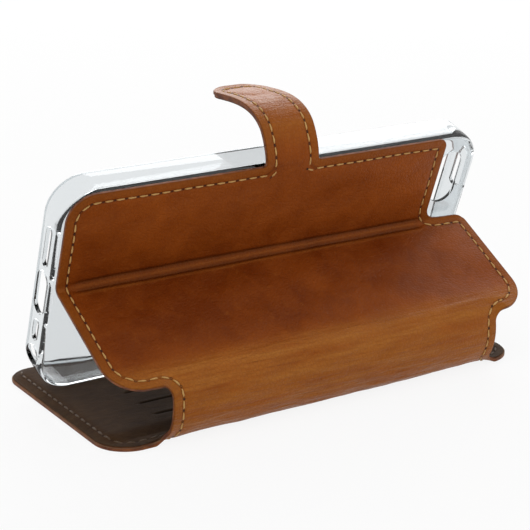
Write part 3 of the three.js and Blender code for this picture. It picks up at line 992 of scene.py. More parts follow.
    def stitch_runs(self) -> dict[str, list[tuple[Array, Array]]]:
        """Divide the stitch line into stitches and sort them by region.

        Returns:
            For each region's name, its stitches as a middle and a half length along the line,
            both as x and s.
        """
        inset = self.sizes.stitch_inset
        corners = [
            replace(c, r=self.sizes.stitch_turn)
            if abs(c.s - self.line.top + inset) < 0.1 and abs(c.x) < self.sizes.strap_width
            else c
            for c in self.outline.inset(inset).corners
        ]
        path = Outline(corners).points
        loop = np.vstack([path, path[:1]])
        lengths = arc_lengths(loop)
        count = int(round(lengths[-1] / self.sizes.stitch_pitch))
        pitch = lengths[-1] / count
        runs: dict[str, list[tuple[Array, Array]]] = {r.name: [] for r in self.regions}
        shares = (-self.STITCH_SHARE, 0.0, self.STITCH_SHARE)
        for i in range(count):
            ends = [(i + 0.5 + share) * pitch for share in shares]
            x = np.interp(ends, lengths, loop[:, 0])
            s = np.interp(ends, lengths, loop[:, 1])
            middle = np.array([x[1], s[1]])
            half = np.array([x[2] - x[0], s[2] - s[0]]) / 2
            runs[self.region_of(*middle).name].append((middle, half))
        return runs

    def region_of(self, x: float, s: float) -> Region:
        """Find the region that a place on the sheet belongs to."""
        end = self.line.spine_end
        if abs(x - self.sizes.spine_x) > self.sizes.spine_half and 0 < s < end:
            wanted = "front_cover" if s < end / 2 else "kick_panel"
            return next(r for r in self.regions if r.name == wanted)
        inside = [r for r in self.regions if r.low <= s <= r.high]
        return inside[0] if inside else self.regions[-1]

    def make_stitches(self, region: Region, run: list[tuple[Array, Array]]) -> bpy.types.Object:
        """Make a region's stitches, with the needle holes between them.

        Args:
            region: The region.
            run: Its stitches.

        Returns:
            The object, riding on its body where its region has one.
        """
        builder = StitchBuilder(f"{region.name}_stitches", self)
        inside = region.name == "front_cover"
        for middle, half in run:
            builder.add(middle, half, inside)
        thread = self.finishes.bobbin_thread if inside else self.finishes.thread
        piece = builder.finish([thread, self.finishes.needle_hole_shade])
        self.attach(piece, region)
        if region.thread_nodes:
            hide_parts(*region.thread_nodes)
        return piece

    def face_depth(self, x: Array, s: Array, inside: bool) -> Array:
        """Give the depth of the hide's outside face or of the lining's inside face.

        Args:
            x: Along the case.
            s: Along the leather.
            inside: Whether it's the lining's inside face.

        Returns:
            The depth.
        """
        if not inside:
            return self.relief.hide_depth(x, s, self.outline.distance(x, s))
        return self.relief.lining_faces(x, s, self.lining_outline.distance(x, s))[1]

    def make_magnet(self) -> bpy.types.Object:
        """Make the magnet disc between the strap's layers.

        Returns:
            The object, riding on the strap's tip.
        """
        radius = np.linspace(0.01, self.sizes.magnet_radius, 7)[:, None]
        turn = np.linspace(0, 2 * math.pi, 41)[None, :]
        patch = Patch(
            self.sizes.strap_x + radius * np.cos(turn),
            self.line.end - self.sizes.magnet_s + radius * np.sin(turn),
        )
        builder = MeshBuilder("magnet_disc")
        faces = [self.point(patch.x, patch.s, depth) for depth in self.MAGNET_FACES]
        builder.add_slab(*faces, patch, {})
        piece = builder.finish([self.finishes.nickel] * 3)
        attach(piece, "strap_tip")
        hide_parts("strap_magnet")
        return piece

    def make(self) -> None:
        """Make every region's hide, lining and stitches."""
        magnet = self.make_magnet()
        log.info("%s: %d faces", magnet.name, len(magnet.data.polygons))
        runs = self.stitch_runs()
        for region in self.regions:
            for layer in Layer:
                piece = self.make_layer(region, layer)
                log.info("%s: %d faces", piece.name, len(piece.data.polygons))
            if runs[region.name]:
                piece = self.make_stitches(region, runs[region.name])
                log.info("%s: %d stitches", piece.name, len(runs[region.name]))


class FaceBuilder:
    """Gathers faces and their materials, and makes an object of them."""

    def __init__(self, name: str) -> None:
        """Start empty, with the object's name."""
        self.name = name
        self.faces: list[tuple[int, ...]] = []
        self.materials: list[int] = []

    def _face(self, corners: tuple[int, ...], material: int) -> None:
        """Add a face."""
        self.faces.append(tuple(int(c) for c in corners))
        self.materials.append(material)

    def _mesh(self, points: Array, dressed: list[bpy.types.Material]) -> bpy.types.Mesh:
        """Make a smooth mesh of the faces, with its materials.

        Args:
            points: The places of the vertices.
            dressed: The materials, in the order of the faces' numbers.

        Returns:
            The mesh.
        """
        mesh = bpy.data.meshes.new(self.name)
        mesh.from_pydata(points.tolist(), [], self.faces)
        for material in dressed:
            mesh.materials.append(material)
        mesh.polygons.foreach_set("material_index", self.materials)
        mesh.polygons.foreach_set("use_smooth", [True] * len(mesh.polygons))
        return mesh

    def _object(self, mesh: bpy.types.Mesh) -> bpy.types.Object:
        """Put the mesh in the scene as an object."""
        piece = bpy.data.objects.new(self.name, mesh)
        bpy.context.scene.collection.objects.link(piece)
        return piece


class MeshBuilder(FaceBuilder):
    """Gathers closed slabs into one mesh with texture places and named facts."""

    FRONT, EDGE, BACK = range(3)

    def __init__(self, name: str) -> None:
        """Start an empty mesh.

        Args:
            name: The object's name.
        """
        super().__init__(name)
        self.points: list[Array] = []
        self.places: list[Array] = []
        self.facts: dict[str, list[Array]] = {}
        self.sharp: set[tuple[int, int]] = set()
        self.count = 0

    def _add_points(self, points: Array, patch: Patch, facts: dict[str, Array]) -> Array:
        """Add a grid of points and give their numbers."""
        flat = points.reshape(-1, 3)
        numbers = self.count + np.arange(len(flat)).reshape(points.shape[:-1])
        self.points.append(flat)
        self.places.append(np.stack([patch.x.ravel(), patch.s.ravel()], axis=1) / 100)
        for key, values in facts.items():
            self.facts.setdefault(key, []).append(values.ravel())
        self.count += len(flat)
        return numbers

    def add_slab(self, front: Array, back: Array, patch: Patch, facts: dict[str, Array]) -> None:
        """Add a slab between two grids.

        Args:
            front: The outer grid of points.
            back: The inner grid.
            patch: The places on the sheet.
            facts: Named values for each place.
        """
        f = self._add_points(front, patch, facts)
        b = self._add_points(back, patch, facts)
        for i in range(f.shape[0] - 1):
            for j in range(f.shape[1] - 1):
                self._face((f[i, j], f[i, j + 1], f[i + 1, j + 1], f[i + 1, j]), self.FRONT)
                self._face((b[i + 1, j], b[i + 1, j + 1], b[i, j + 1], b[i, j]), self.BACK)
        rim_f = np.concatenate([f[0, :-1], f[:-1, -1], f[-1, :0:-1], f[:0:-1, 0]])
        rim_b = np.concatenate([b[0, :-1], b[:-1, -1], b[-1, :0:-1], b[:0:-1, 0]])
        for k in range(len(rim_f)):
            n = (k + 1) % len(rim_f)
            self._face((rim_f[n], rim_f[k], rim_b[k], rim_b[n]), self.EDGE)
            for pair in ((rim_f[k], rim_f[n]), (rim_b[k], rim_b[n])):
                self.sharp.add((int(min(pair)), int(max(pair))))

    def finish(self, dressed: list[bpy.types.Material]) -> bpy.types.Object:
        """Make the object.

        Args:
            dressed: The materials of the front, the edge and the back.

        Returns:
            The object.
        """
        mesh = self._mesh(np.concatenate(self.points), dressed)
        places = np.concatenate(self.places)
        loops = np.zeros(len(mesh.loops), int)
        mesh.loops.foreach_get("vertex_index", loops)
        layer = mesh.uv_layers.new(name="sheet")
        layer.data.foreach_set("uv", places[loops].astype(np.float32).ravel())
        for key, values in self.facts.items():
            attribute = mesh.attributes.new(key, "FLOAT", "POINT")
            attribute.data.foreach_set("value", np.concatenate(values).astype(np.float32))
        edges = np.zeros(len(mesh.edges) * 2, int)
        mesh.edges.foreach_get("vertices", edges)
        pairs = np.sort(edges.reshape(-1, 2), axis=1)
        flags = [(int(a), int(b)) in self.sharp for a, b in pairs]
        sharp = mesh.attributes.new("sharp_edge", "BOOLEAN", "EDGE")
        sharp.data.foreach_set("value", flags)
        mesh.validate()
        return self._object(mesh)


class StitchBuilder(FaceBuilder):
    """Makes stitches as short two-ply threads that dive into needle holes."""

    RINGS = 11
    AROUND = 8
    PLY = 0.16
    TWIST = 2.4
    DIVE = 0.16
    HOLE_AT = 1.28
    HOLE_LENGTH = 0.36
    HOLE_WIDTH = 0.31
    HOLE_SIDES = 10
    HOLE_RINGS = ((1.0, -0.035), (0.6, 0.0))

    def __init__(self, name: str, sheet: Sheet, radius: float = 0.22, rise: float = 0.12) -> None:
        """Start an empty run.

        Args:
            name: The object's name.
            sheet: The sheet that it is sewn into.
            radius: The thread's radius.
            rise: How far a stitch stands off the face.
        """
        super().__init__(name)
        self.sheet = sheet
        self.radius = radius
        self.rise = rise
        self.vertices: list[Array] = []

    def add(self, middle: Array, half: Array, inside: bool) -> None:
        """Add a stitch and the hole at its end.

        Args:
            middle: Its middle, as x and s.
            half: Half its length, as x and s.
            inside: Whether it lies on the lining's inside face.
        """
        length = float(np.hypot(*half))
        along = half / length
        across = np.array([-along[1], along[0]])
        sign = -1 if inside else 1
        t = np.linspace(-1, 1, self.RINGS)[:, None]
        theta = np.linspace(0, 2 * math.pi, self.AROUND, endpoint=False)[None, :]
        taper = np.sqrt(np.clip(1 - np.abs(t) ** 3.2, 0.02, 1))
        ply = 1 + self.PLY * np.cos(2 * (theta - self.TWIST * t))
        r = self.radius * taper * ply
        side = r * np.cos(theta)
        x = middle[0] + half[0] * t + across[0] * side
        s = middle[1] + half[1] * t + across[1] * side
        mx = middle[0] + half[0] * t + 0 * side
        ms = middle[1] + half[1] * t + 0 * side
        face = self.sheet.face_depth(mx, ms, inside)
        lift = self.rise * (1 - np.abs(t) ** 3.0) - self.DIVE * np.abs(t) ** 6
        depth = face - sign * (lift + 0.8 * r * np.sin(theta))
        self._tube(self.sheet.point(x, s, depth))
        self._hole(middle + half * self.HOLE_AT, along, across, inside, sign)

    def _tube(self, rings: Array) -> None:
        """Add a closed tube through rings of points."""
        start = sum(len(v) for v in self.vertices)
        flat = rings.reshape(-1, 3)
        caps = np.array([rings[0].mean(axis=0), rings[-1].mean(axis=0)])
        self.vertices += [flat, caps]
        n, m = rings.shape[:2]
        for i in range(n - 1):
            for j in range(m):
                k = (j + 1) % m
                a, b = start + i * m, start + (i + 1) * m
                self._face((a + j, a + k, b + k, b + j), 0)
        first, last = start + n * m, start + n * m + 1
        for j in range(m):
            k = (j + 1) % m
            self._face((first, start + k, start + j), 0)
            self._face((last, start + (n - 1) * m + j, start + (n - 1) * m + k), 0)

    def _hole(self, centre: Array, along: Array, across: Array, inside: bool, sign: int) -> None:
        """Add a needle hole as a small dish on the face, dark with painted shade."""
        count = self.HOLE_SIDES
        theta = np.linspace(0, 2 * math.pi, count, endpoint=False)
        rings = []
        for share, sink in self.HOLE_RINGS:
            u = self.HOLE_LENGTH * share * np.cos(theta)
            v = self.HOLE_WIDTH * share * np.sin(theta)
            x = centre[0] + along[0] * u + across[0] * v
            s = centre[1] + along[1] * u + across[1] * v
            face = self.sheet.face_depth(x, s, inside)
            rings.append(self.sheet.point(x, s, face + sign * sink))
        start = sum(len(v) for v in self.vertices)
        flat = np.concatenate(rings)
        self.vertices.append(flat)
        for j in range(count):
            k = (j + 1) % count
            self._face((start + j, start + k, start + count + k, start + count + j), 1)
        self._face(tuple(start + count + j for j in range(count)), 1)

    def finish(self, dressed: list[bpy.types.Material]) -> bpy.types.Object:
        """Make the object.

        Args:
            dressed: The thread's material and the holes'.

        Returns:
            The object.
        """
        mesh = self._mesh(np.concatenate(self.vertices), dressed)
        tidy = bmesh.new()
        tidy.from_mesh(mesh)
        bmesh.ops.recalc_face_normals(tidy, faces=tidy.faces)
        tidy.to_mesh(mesh)
        tidy.free()
        return self._object(mesh)


# ---------------------------------------------------------------------------------------------
# Materials
# ---------------------------------------------------------------------------------------------


class Signal:
    """A shader value that takes part in arithmetic."""

    def __init__(self, graph: "Graph", socket: bpy.types.NodeSocket) -> None:
        """Wrap a socket.

        Args:
            graph: The graph that the socket belongs to.
            socket: The output socket.
        """
        self.graph = graph
        self.socket = socket

    def _join(self, operation: str, first: "Value", second: "Value") -> "Signal":
        """Add a Math node."""
        return self.graph.node("ShaderNodeMath", {"operation": operation}, {0: first, 1: second})

    def __add__(self, other: "Value") -> "Signal":
        """Add."""
        return self._join("ADD", self, other)

    def __radd__(self, other: "Value") -> "Signal":
        """Add, with this value second."""
        return self._join("ADD", other, self)

    def __sub__(self, other: "Value") -> "Signal":
        """Subtract."""
        return self._join("SUBTRACT", self, other)

    def __rsub__(self, other: "Value") -> "Signal":
        """Subtract this value from another."""
        return self._join("SUBTRACT", other, self)

    def __mul__(self, other: "Value") -> "Signal":
        """Multiply."""
        return self._join("MULTIPLY", self, other)

    def __rmul__(self, other: "Value") -> "Signal":
        """Multiply, with this value second."""
        return self._join("MULTIPLY", other, self)

    def clamped(self) -> "Signal":
        """Hold the value between 0 and 1."""
        settings = {"operation": "ADD", "use_clamp": True}
        return self.graph.node("ShaderNodeMath", settings, {0: self, 1: 0.0})

    def smooth(self, low: float, high: float) -> "Signal":
        """Rise smoothly from 0 at low to 1 at high."""
        settings = {"interpolation_type": "SMOOTHSTEP"}
        return self.graph.node(
            "ShaderNodeMapRange", settings, {"Value": self, "From Min": low, "From Max": high}
        )


Value = Signal | float


class Graph:
    """The node graph of one material."""

    def __init__(self, name: str) -> None:
        """Start a material with a principled shader.

        Args:
            name: The material's name.
        """
        self.material = bpy.data.materials.new(name)
        self.material.use_nodes = True
        self.tree = self.material.node_tree
        self.shader = self.tree.nodes["Principled BSDF"]

    def node(self, kind: str, settings: dict, inputs: dict, output: int | str = 0) -> Signal:
        """Add a node.

        Args:
            kind: The node's type.
            settings: Its properties, set first. "stops" sets a ramp's places and colours.
            inputs: The value or link of each socket, by name or number.
            output: Which output to give.

        Returns:
            The output.
        """
        made = self.tree.nodes.new(kind)
        for key, value in settings.items():
            if key != "stops":
                setattr(made, key, value)
                continue
            elements = made.color_ramp.elements
            while len(elements) < len(value):
                elements.new(0.5)
            for element, (place, colour) in zip(elements, value):
                element.position = place
                element.color = (*colour, 1)
        for key, value in inputs.items():
            if isinstance(value, Signal):
                self.tree.links.new(value.socket, made.inputs[key])
            else:
                made.inputs[key].default_value = value
        return Signal(self, made.outputs[output])

    def mix(self, share: Value, first: "Signal | Colour", second: "Signal | Colour",
            mode: str = "MIX") -> Signal:
        """Mix two colours.

        Args:
            share: How much of the second.
            first: The first colour.
            second: The second colour.
            mode: The way of mixing.

        Returns:
            The mixed colour.
        """
        settings = {"data_type": "RGBA", "blend_type": mode, "clamp_factor": True}
        colours = [c if isinstance(c, Signal) else (*c, 1) for c in (first, second)]
        return self.node("ShaderNodeMix", settings, {0: share, 6: colours[0], 7: colours[1]}, 2)

    def sheet_place(self) -> Signal:
        """Give the place on the leather sheet, in millimetres."""
        place = self.node("ShaderNodeTexCoord", {}, {}, "UV")
        return self.scaled(place, (100, 100, 100))

    def object_place(self) -> Signal:
        """Give the place in the row's frame, in millimetres."""
        place = self.node("ShaderNodeTexCoord", {}, {}, "Object")
        return self.scaled(place, (1000, 1000, 1000))

    def scaled(self, place: Signal, factors: tuple[float, float, float]) -> Signal:
        """Stretch a place by a factor for each axis."""
        return self.node("ShaderNodeVectorMath", {"operation": "MULTIPLY"}, {0: place, 1: factors})

    def noise(self, place: Signal, size: float, detail: float = 2, rough: float = 0.5,
              twist: float = 0.0) -> Signal:
        """Give noise from 0 to 1.

        Args:
            place: Where, in millimetres.
            size: The size of its patches.
            detail: How many finer layers it has.
            rough: How strong they are.
            twist: How far it's distorted.

        Returns:
            The noise.
        """
        inputs = {"Vector": place, "Scale": 1 / size, "Detail": detail, "Roughness": rough,
                  "Distortion": twist}
        return self.node("ShaderNodeTexNoise", {}, inputs)

    def cells(self, place: Signal, size: float, feature: str = "F1") -> Signal:
        """Give the distance to the nearest cell's middle or edge.

        Args:
            place: Where, in millimetres.
            size: The cells' size.
            feature: Which distance.

        Returns:
            The distance, in cells.
        """
        inputs = {"Vector": place, "Scale": 1 / size}
        return self.node("ShaderNodeTexVoronoi", {"feature": feature}, inputs)

    def fact(self, name: str) -> Signal:
        """Read a named value of the mesh."""
        return self.node("ShaderNodeAttribute", {"attribute_name": name}, {}, "Fac")

    def part_of(self, place: Signal, axis: str) -> Signal:
        """Give one part of a vector."""
        return self.node("ShaderNodeSeparateXYZ", {}, {0: place}, axis)

    def bump(self, height: Signal, depth_mm: float, below: Signal | None = None) -> Signal:
        """Turn a height from 0 to 1 into a normal.

        Args:
            height: The height.
            depth_mm: The relief's depth.
            below: A normal to start from.

        Returns:
            The normal.
        """
        inputs = {"Height": height, "Distance": depth_mm * MM, "Strength": 1.0}
        if below is not None:
            inputs["Normal"] = below
        return self.node("ShaderNodeBump", {}, inputs)

    def finish(self, linked: dict[str, Signal], plain: dict[str, object]) -> bpy.types.Material:
        """Set the shader's sockets.

        Args:
            linked: What varies over the surface.
            plain: What is the same all over.

        Returns:
            The material.
        """
        for key, value in plain.items():
            self.shader.inputs[key].default_value = value
        for key, value in linked.items():
            self.tree.links.new(value.socket, self.shader.inputs[key])
        return self.material


@dataclass(frozen=True)
class HideFinish:
    """Waxed cowhide in cognac brown, lighter where it bends and round its stitched border, with
    painted shade over the kick panel, in the crease's grooves and along the stitch channel, and a
    painted highlight below the crease.
    """

    deep: str = "6a2a05"
    middle: str = "994b13"
    # This colour also paints the highlight below the crease.
    worn_and_highlit: str = "a9682a"
    border: str = "8e521d"
    rubbed: str = "b8722f"
    # groove is the colour of the painted shade in the crease's grooves and along the stitch
    # channel, and of the dark line on the rolled edge.
    groove: str = "3a1502"
    border_width: float = 2.15
    grain: float = 1.0
    grain_depth: float = 0.045
    gloss: float = 0.28
    gloss_tint: str = "ffc080"

    def material(self) -> bpy.types.Material:
        """Make the material."""
        g = Graph("cognac_hide")
        place = g.sheet_place()
        across = g.part_of(place, "X")
        edge, wear, groove = g.fact("edge"), g.fact("wear"), g.fact("groove")
        shade = g.fact("shade")
        cloud = g.noise(place, 30, 3, 0.55)
        blotch = g.noise(place, 7, 4, 0.6, 0.4)
        mottle = g.noise(place, 1.9, 3, 0.6)
        streak = g.noise(g.scaled(place, (1 / 9, 1 / 0.75, 1)), 1, 3, 0.6, 0.6)
        long_streak = g.noise(g.scaled(place, (1 / 26, 1 / 2.4, 1)), 1, 2, 0.5)
        tone = (0.66 + across * 0.002 + (cloud - 0.5) * 1.3 + (blotch - 0.5) * 1.0).clamped()
        # Painted shade darkens the upward-facing kick panel.
        tone = tone - shade * 0.42
        colour = g.mix(tone.clamped(), srgb(self.deep), srgb(self.middle))
        # Bending wear and the painted highlight below the crease lighten the hide.
        bend_and_highlight = (wear * (0.2 + streak * 1.0 + (long_streak - 0.5) * 1.6)).clamped()
        colour = g.mix(bend_and_highlight, colour, srgb(self.worn_and_highlit))
        outside = 1 - edge.smooth(self.border_width - 0.35, self.border_width + 0.35)
        colour = g.mix(outside * (0.1 + blotch * 0.6), colour, srgb(self.border))
        rim = (1 - edge.smooth(0.0, 0.35)) * mottle.smooth(0.2, 0.6)
        colour = g.mix(rim * 0.5, colour, srgb(self.groove))
        cells = g.cells(place, self.grain, "DISTANCE_TO_EDGE")
        crack = 1 - cells.smooth(0.0, 0.2)
        colour = g.mix(crack * 0.18, colour, srgb(self.deep))
        colour = g.mix(mottle.smooth(0.55, 0.8) * 0.14, colour, srgb(self.rubbed))
        # Painted shade in the crease's two grooves.
        colour = g.mix((groove * 0.6).clamped(), colour, srgb(self.groove))
        # Painted shade along the stitch channel.
        stitched = edge.smooth(2.0, 2.45) * (1 - edge.smooth(2.75, 3.3))
        colour = g.mix(stitched * 0.35, colour, srgb(self.groove))
        rough = (0.42 + (blotch - 0.5) * 0.22 + (mottle - 0.5) * 0.16 - wear * 0.03).clamped()
        fine = g.bump(1 - crack, self.grain_depth)
        soft = g.bump(mottle, 0.07, fine)
        creased = g.bump(streak * wear, 0.34, soft)
        rolled = g.bump(blotch, 0.3, creased)
        return g.finish(
            {"Base Color": colour, "Roughness": rough, "Normal": rolled},
            {"Specular IOR Level": self.gloss, "Specular Tint": (*srgb(self.gloss_tint), 1)},
        )


@dataclass(frozen=True)
class EdgeFinish:
    """Burnished edge paint over the cut edge of the hide."""

    paint: str = "5a2c14"
    bare: str = "8a4f28"

    def material(self) -> bpy.types.Material:
        """Make the material."""
        g = Graph("edge_paint")
        place = g.object_place()
        patch = g.noise(place, 2.6, 3)
        fine = g.noise(place, 0.5, 2)
        colour = g.mix(patch.smooth(0.35, 0.7), srgb(self.paint), srgb(self.bare))
        rough = (0.42 + fine * 0.25).clamped()
        linked = {"Base Color": colour, "Roughness": rough, "Normal": g.bump(fine, 0.05)}
        return g.finish(linked, {"Specular IOR Level": 0.3})


@dataclass(frozen=True)
class SuedeFinish:
    """Split leather with its nap outwards."""

    name: str = "suede_lining"
    dark: str = "2e1d10"
    light: str = "50371f"
    sheen: float = 0.05

    def material(self) -> bpy.types.Material:
        """Make the material."""
        g = Graph(self.name)
        place = g.sheet_place()
        nap = g.noise(g.scaled(place, (1 / 3.5, 1 / 1.6, 1)), 1, 4, 0.65, 0.5)
        cloud = g.noise(place, 16, 2)
        fibre = g.noise(place, 0.35, 2, 0.7)
        shade = ((nap - 0.5) * 1.2 + (cloud - 0.5) * 0.9 + 0.45 + (fibre - 0.5) * 0.5).clamped()
        colour = g.mix(shade, srgb(self.dark), srgb(self.light))
        # Painted shade darkens the pocket mouths.
        colour = g.mix((g.fact("groove") * 0.9).clamped(), colour, srgb("15100c"))
        rough = (0.86 + (fibre - 0.5) * 0.2).clamped()
        normal = g.bump(nap, 0.12, g.bump(fibre, 0.09))
        linked = {"Base Color": colour, "Roughness": rough, "Normal": normal}
        return g.finish(linked, {"Sheen Weight": self.sheen, "Specular IOR Level": 0.15})


@dataclass(frozen=True)
class ThreadFinish:
    """Waxed thread."""

    name: str
    pale: str
    deep: str

    def material(self) -> bpy.types.Material:
        """Make the material."""
        g = Graph(self.name)
        place = g.object_place()
        fibre = g.noise(place, 0.18, 2, 0.6)
        patch = g.noise(place, 4.0, 2)
        colour = g.mix((fibre * 0.7 + patch * 0.5).clamped(), srgb(self.deep), srgb(self.pale))
        linked = {
            "Base Color": colour,
            "Roughness": (0.5 + fibre * 0.25).clamped(),
            "Normal": g.bump(fibre, 0.05),
        }
        return g.finish(linked, {"Sheen Weight": 0.2})


@dataclass(frozen=True)
class ClearFinish:
    """Clear polished polycarbonate with a little handling haze."""

    tint: str = "e2e6e8"

    def material(self) -> bpy.types.Material:
        """Make the material."""
        g = Graph("clear_polycarbonate")
        place = g.object_place()
        haze = g.noise(place, 14, 3).smooth(0.45, 0.8)
        rub = g.noise(g.scaled(place, (1, 1 / 6, 1 / 6)), 1.2, 2)
        linked = {"Roughness": (0.035 + haze * 0.05).clamped(), "Normal": g.bump(rub, 0.004)}
        plain = {"Base Color": (*srgb(self.tint), 1), "Transmission Weight": 1.0, "IOR": 1.5}
        return g.finish(linked, plain)


@dataclass(frozen=True)
class GrainFinish:
    """A plain finish with patches and fine grain, for the small and hidden parts."""

    name: str
    dark: str
    light: str
    patch: float
    grain: float
    roughness: float
    metallic: float = 0.0
    stretch: tuple[float, float, float] = (1, 1, 1)
    depth: float = 0.05

    def material(self) -> bpy.types.Material:
        """Make the material."""
        g = Graph(self.name)
        place = g.scaled(g.object_place(), self.stretch)
        patch = g.noise(place, self.patch, 3)
        fine = g.noise(place, self.grain, 3, 0.6)
        colour = g.mix((patch * 0.6 + fine * 0.5).clamped(), srgb(self.dark), srgb(self.light))
        linked = {
            "Base Color": colour,
            "Roughness": (self.roughness + (fine - 0.5) * 0.25).clamped(),
            "Normal": g.bump(fine, self.depth),
        }
        return g.finish(linked, {"Metallic": self.metallic})


class Finishes:
    """Every material of the case."""

    def __init__(self) -> None:
        """Make the materials."""
        self.hide = HideFinish().material()
        self.edge = EdgeFinish().material()
        self.suede = SuedeFinish().material()
        self.thread = ThreadFinish("gold_thread", "d8ac62", "a06e2c").material()
        self.bobbin_thread = ThreadFinish("brown_thread", "5e4326", "402c16").material()
        self.clear = ClearFinish().material()
        self.flesh = GrainFinish("flesh_side", "6f5138", "94714f", 5, 0.5, 0.9).material()
        # The needle holes' dark colour is painted shade.
        self.needle_hole_shade = GrainFinish("needle_hole_shade", "1c0c05", "32180a", 2, 0.3, 0.9).material()
        self.board = GrainFinish("leather_board", "7d6848", "b09a75", 4, 0.6, 0.9).material()
        self.cloth = GrainFinish(
            "pocket_cloth", "2f251c", "4b3c2d", 3, 0.3, 0.9, stretch=(1, 3, 3)
        ).material()
        self.tape = GrainFinish("foam_tape", "dcdcd6", "f0f0ec", 5, 0.4, 0.7).material()
        self.steel = GrainFinish(
            "clasp_steel", "8d9093", "c3c5c7", 8, 0.5, 0.35, 1.0, (0.1, 3, 3), 0.01
        ).material()
        self.nickel = GrainFinish(
            "magnet_nickel", "b4b4b2", "dcdbd6", 6, 1.0, 0.22, 1.0, depth=0.004
        ).material()

    def for_layer(self, layer: Layer) -> list[bpy.types.Material]:
        """Give the materials of a layer's front, edge and back."""
        if layer is Layer.HIDE:
            return [self.hide, self.edge, self.flesh]
        return [self.flesh, self.edge, self.suede]


# ---------------------------------------------------------------------------------------------
# Clear tray, hidden parts and studio
# ---------------------------------------------------------------------------------------------


@dataclass
class ClearTray:
    """The clear tray, which keeps its own shape and gets soft edges."""

    finishes: Finishes
    edge_round: float = 0.22
    edge_steps: int = 2
    sharp_from: float = 33.0

    def make(self) -> bpy.types.Object:
        """Make the tray from its solid.

        Returns:
            The object, riding on its body.
        """
        mesh = frame["nodes"]["clear_tray"].data.copy()
        mesh.name = "tray_shell"
        piece = bpy.data.objects.new("tray_shell", mesh)
        bpy.context.scene.collection.objects.link(piece)
        self._clean(mesh)
        mesh.materials.clear()
        mesh.materials.append(self.finishes.clear)
        bevel = piece.modifiers.new("soft_edges", "BEVEL")
        bevel.width = self.edge_round * MM
        bevel.segments = self.edge_steps
        bevel.limit_method = "ANGLE"
        bevel.angle_limit = math.radians(self.sharp_from)
        bevel.use_clamp_overlap = True
        bevel.harden_normals = True
        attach(piece, "tray")
        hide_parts("clear_tray")
        return piece

    def _clean(self, mesh: bpy.types.Mesh) -> None:
        """Weld the solid's triangles into flat faces with smooth shading.

        Args:
            mesh: The mesh to clean.
        """
        tidy = bmesh.new()
        tidy.from_mesh(mesh)
        bmesh.ops.remove_doubles(tidy, verts=tidy.verts, dist=1e-6)
        bmesh.ops.dissolve_limit(
            tidy, angle_limit=math.radians(1.0), verts=tidy.verts, edges=tidy.edges
        )
        for face in tidy.faces:
            face.smooth = True
        for edge in tidy.edges:
            angle = edge.calc_face_angle(0)
            edge.smooth = angle < math.radians(self.sharp_from)
        tidy.to_mesh(mesh)
        tidy.free()


@dataclass
class HiddenParts:
    """The parts between the layers, which keep their own solids."""

    finishes: Finishes

    def dress(self) -> None:
        """Give each part its finish."""
        f = self.finishes
        dressed = {
            "front_cover_board": f.board,
            "kick_panel_board": f.board,
            "upper_panel_board": f.board,
            "card_pocket_sheet_1": f.cloth,
            "card_pocket_sheet_2": f.cloth,
            "card_pocket_sheet_3": f.cloth,
            "clasp_plate": f.steel,
            "glue_pad": f.tape,
        }
        for name, material in dressed.items():
            for slot in frame["nodes"][name].material_slots:
                slot.material = material
            log.info("%s: dressed", name)


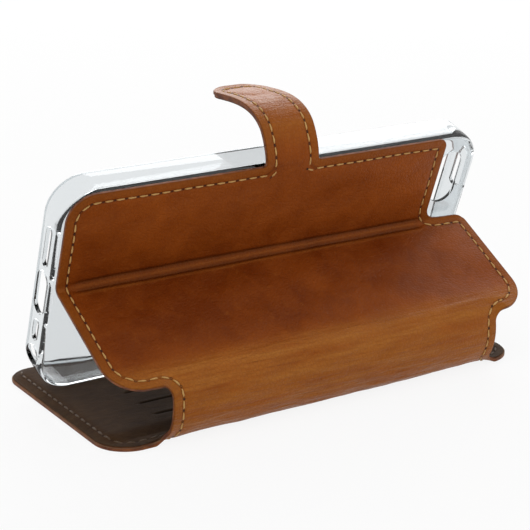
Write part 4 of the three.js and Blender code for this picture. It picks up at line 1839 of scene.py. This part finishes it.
@dataclass
class Studio:
    """A pale floor, soft lamps and the camera."""

    camera_at: tuple[float, float, float] = (-0.22169, -0.34937, 0.15965)
    azimuth: float = -32.56
    elevation: float = 17.64
    lens: float = 111.0
    floor_size: float = 6.0
    world: float = 0.62
    key: float = 2.8
    fill: float = 1.4
    back: float = 6.0
    floor_hold: float = 0.88

    def make(self) -> None:
        """Make the camera, the lamps, the floor and the world."""
        self._camera()
        self._lamp("key_lamp", (-0.75, -0.35, 1.15), 0.9, self.key)
        self._lamp("fill_lamp", (0.9, -0.9, 0.7), 1.2, self.fill)
        self._lamp("back_lamp", (0.6, 0.9, 0.62), 0.9, self.back)
        self._floor()
        self._world()
        scene = bpy.context.scene
        scene.view_settings.view_transform = "Standard"
        scene.render.resolution_x, scene.render.resolution_y = 530, 530

    def _camera(self) -> None:
        """Add the camera."""
        data = bpy.data.cameras.new("camera")
        data.lens = self.lens
        data.sensor_width = 36
        data.clip_start, data.clip_end = 0.01, 50
        camera = bpy.data.objects.new("camera", data)
        camera.location = self.camera_at
        tilt = math.radians(90 - self.elevation)
        camera.rotation_euler = Euler((tilt, 0, math.radians(self.azimuth)))
        bpy.context.scene.collection.objects.link(camera)
        bpy.context.scene.camera = camera

    def _lamp(self, name: str, at: tuple[float, float, float], size: float, power: float) -> None:
        """Add a soft lamp that points at the case.

        Args:
            name: The lamp's name.
            at: Its place, in metres.
            size: Its side, in metres.
            power: Its power, in watts.
        """
        data = bpy.data.lights.new(name, "AREA")
        data.size = size
        data.energy = power
        lamp = bpy.data.objects.new(name, data)
        lamp.location = at
        aim = Vector((0, 0, 0.03)) - Vector(at)
        lamp.rotation_euler = aim.to_track_quat("-Z", "Y").to_euler()
        bpy.context.scene.collection.objects.link(lamp)

    def _seen(self, g: Graph) -> Signal:
        """Give 1 for the rays that see the floor: the camera's, and those off or through gloss."""
        rays = [
            g.node("ShaderNodeLightPath", {}, {}, name)
            for name in ("Is Camera Ray", "Is Glossy Ray", "Is Transmission Ray")
        ]
        return (rays[0] + rays[1] + rays[2]).clamped()

    def _floor(self) -> None:
        """Add the floor, which is white to the camera and keeps the case's shadow."""
        mesh = bpy.data.meshes.new("floor")
        r = self.floor_size / 2
        corners = [(-r, -r, 0), (r, -r, 0), (r, r, 0), (-r, r, 0)]
        mesh.from_pydata([(x, y, -0.0001) for x, y, _ in corners], [], [(0, 1, 2, 3)])
        floor = bpy.data.objects.new("floor", mesh)
        bpy.context.scene.collection.objects.link(floor)
        g = Graph("pale_floor")
        g.shader.inputs["Base Color"].default_value = (0.9, 0.9, 0.9, 1)
        g.shader.inputs["Roughness"].default_value = 0.95
        g.shader.inputs["Specular IOR Level"].default_value = 0.0
        glow = g.node("ShaderNodeEmission", {}, {"Color": (1, 1, 1, 1), "Strength": 1.0})
        surface = Signal(g, g.shader.outputs[0])
        shown = g.node(
            "ShaderNodeMixShader", {}, {0: self._seen(g) * self.floor_hold, 1: surface, 2: glow}
        )
        g.tree.links.new(shown.socket, g.tree.nodes["Material Output"].inputs["Surface"])
        mesh.materials.append(g.material)

    def _world(self) -> None:
        """Add the plain world, white where it's seen."""
        world = bpy.data.worlds.new("studio")
        bpy.context.scene.world = world
        world.use_nodes = True
        tree = world.node_tree
        background = tree.nodes["Background"]
        background.inputs["Color"].default_value = (1, 1, 1, 1)
        rays = tree.nodes.new("ShaderNodeLightPath")
        total = None
        for name in ("Is Camera Ray", "Is Glossy Ray", "Is Transmission Ray"):
            add = tree.nodes.new("ShaderNodeMath")
            add.operation = "ADD"
            add.use_clamp = True
            tree.links.new(rays.outputs[name], add.inputs[0])
            if total is None:
                add.inputs[1].default_value = 0
            else:
                tree.links.new(total, add.inputs[1])
            total = add.outputs[0]
        level = tree.nodes.new("ShaderNodeMapRange")
        level.inputs["To Min"].default_value = self.world
        level.inputs["To Max"].default_value = 1.0
        tree.links.new(total, level.inputs["Value"])
        tree.links.new(level.outputs[0], background.inputs["Strength"])


def main() -> None:
    """Build the case and its studio."""
    logging.basicConfig(level=logging.INFO, format="%(message)s")
    studio = Studio()
    studio.make()
    finishes = Finishes()
    Sheet(SIZES, finishes).make()
    tray = ClearTray(finishes).make()
    log.info("%s: %d faces", tray.name, len(tray.data.polygons))
    HiddenParts(finishes).dress()


if __name__ == "__main__":
    main()
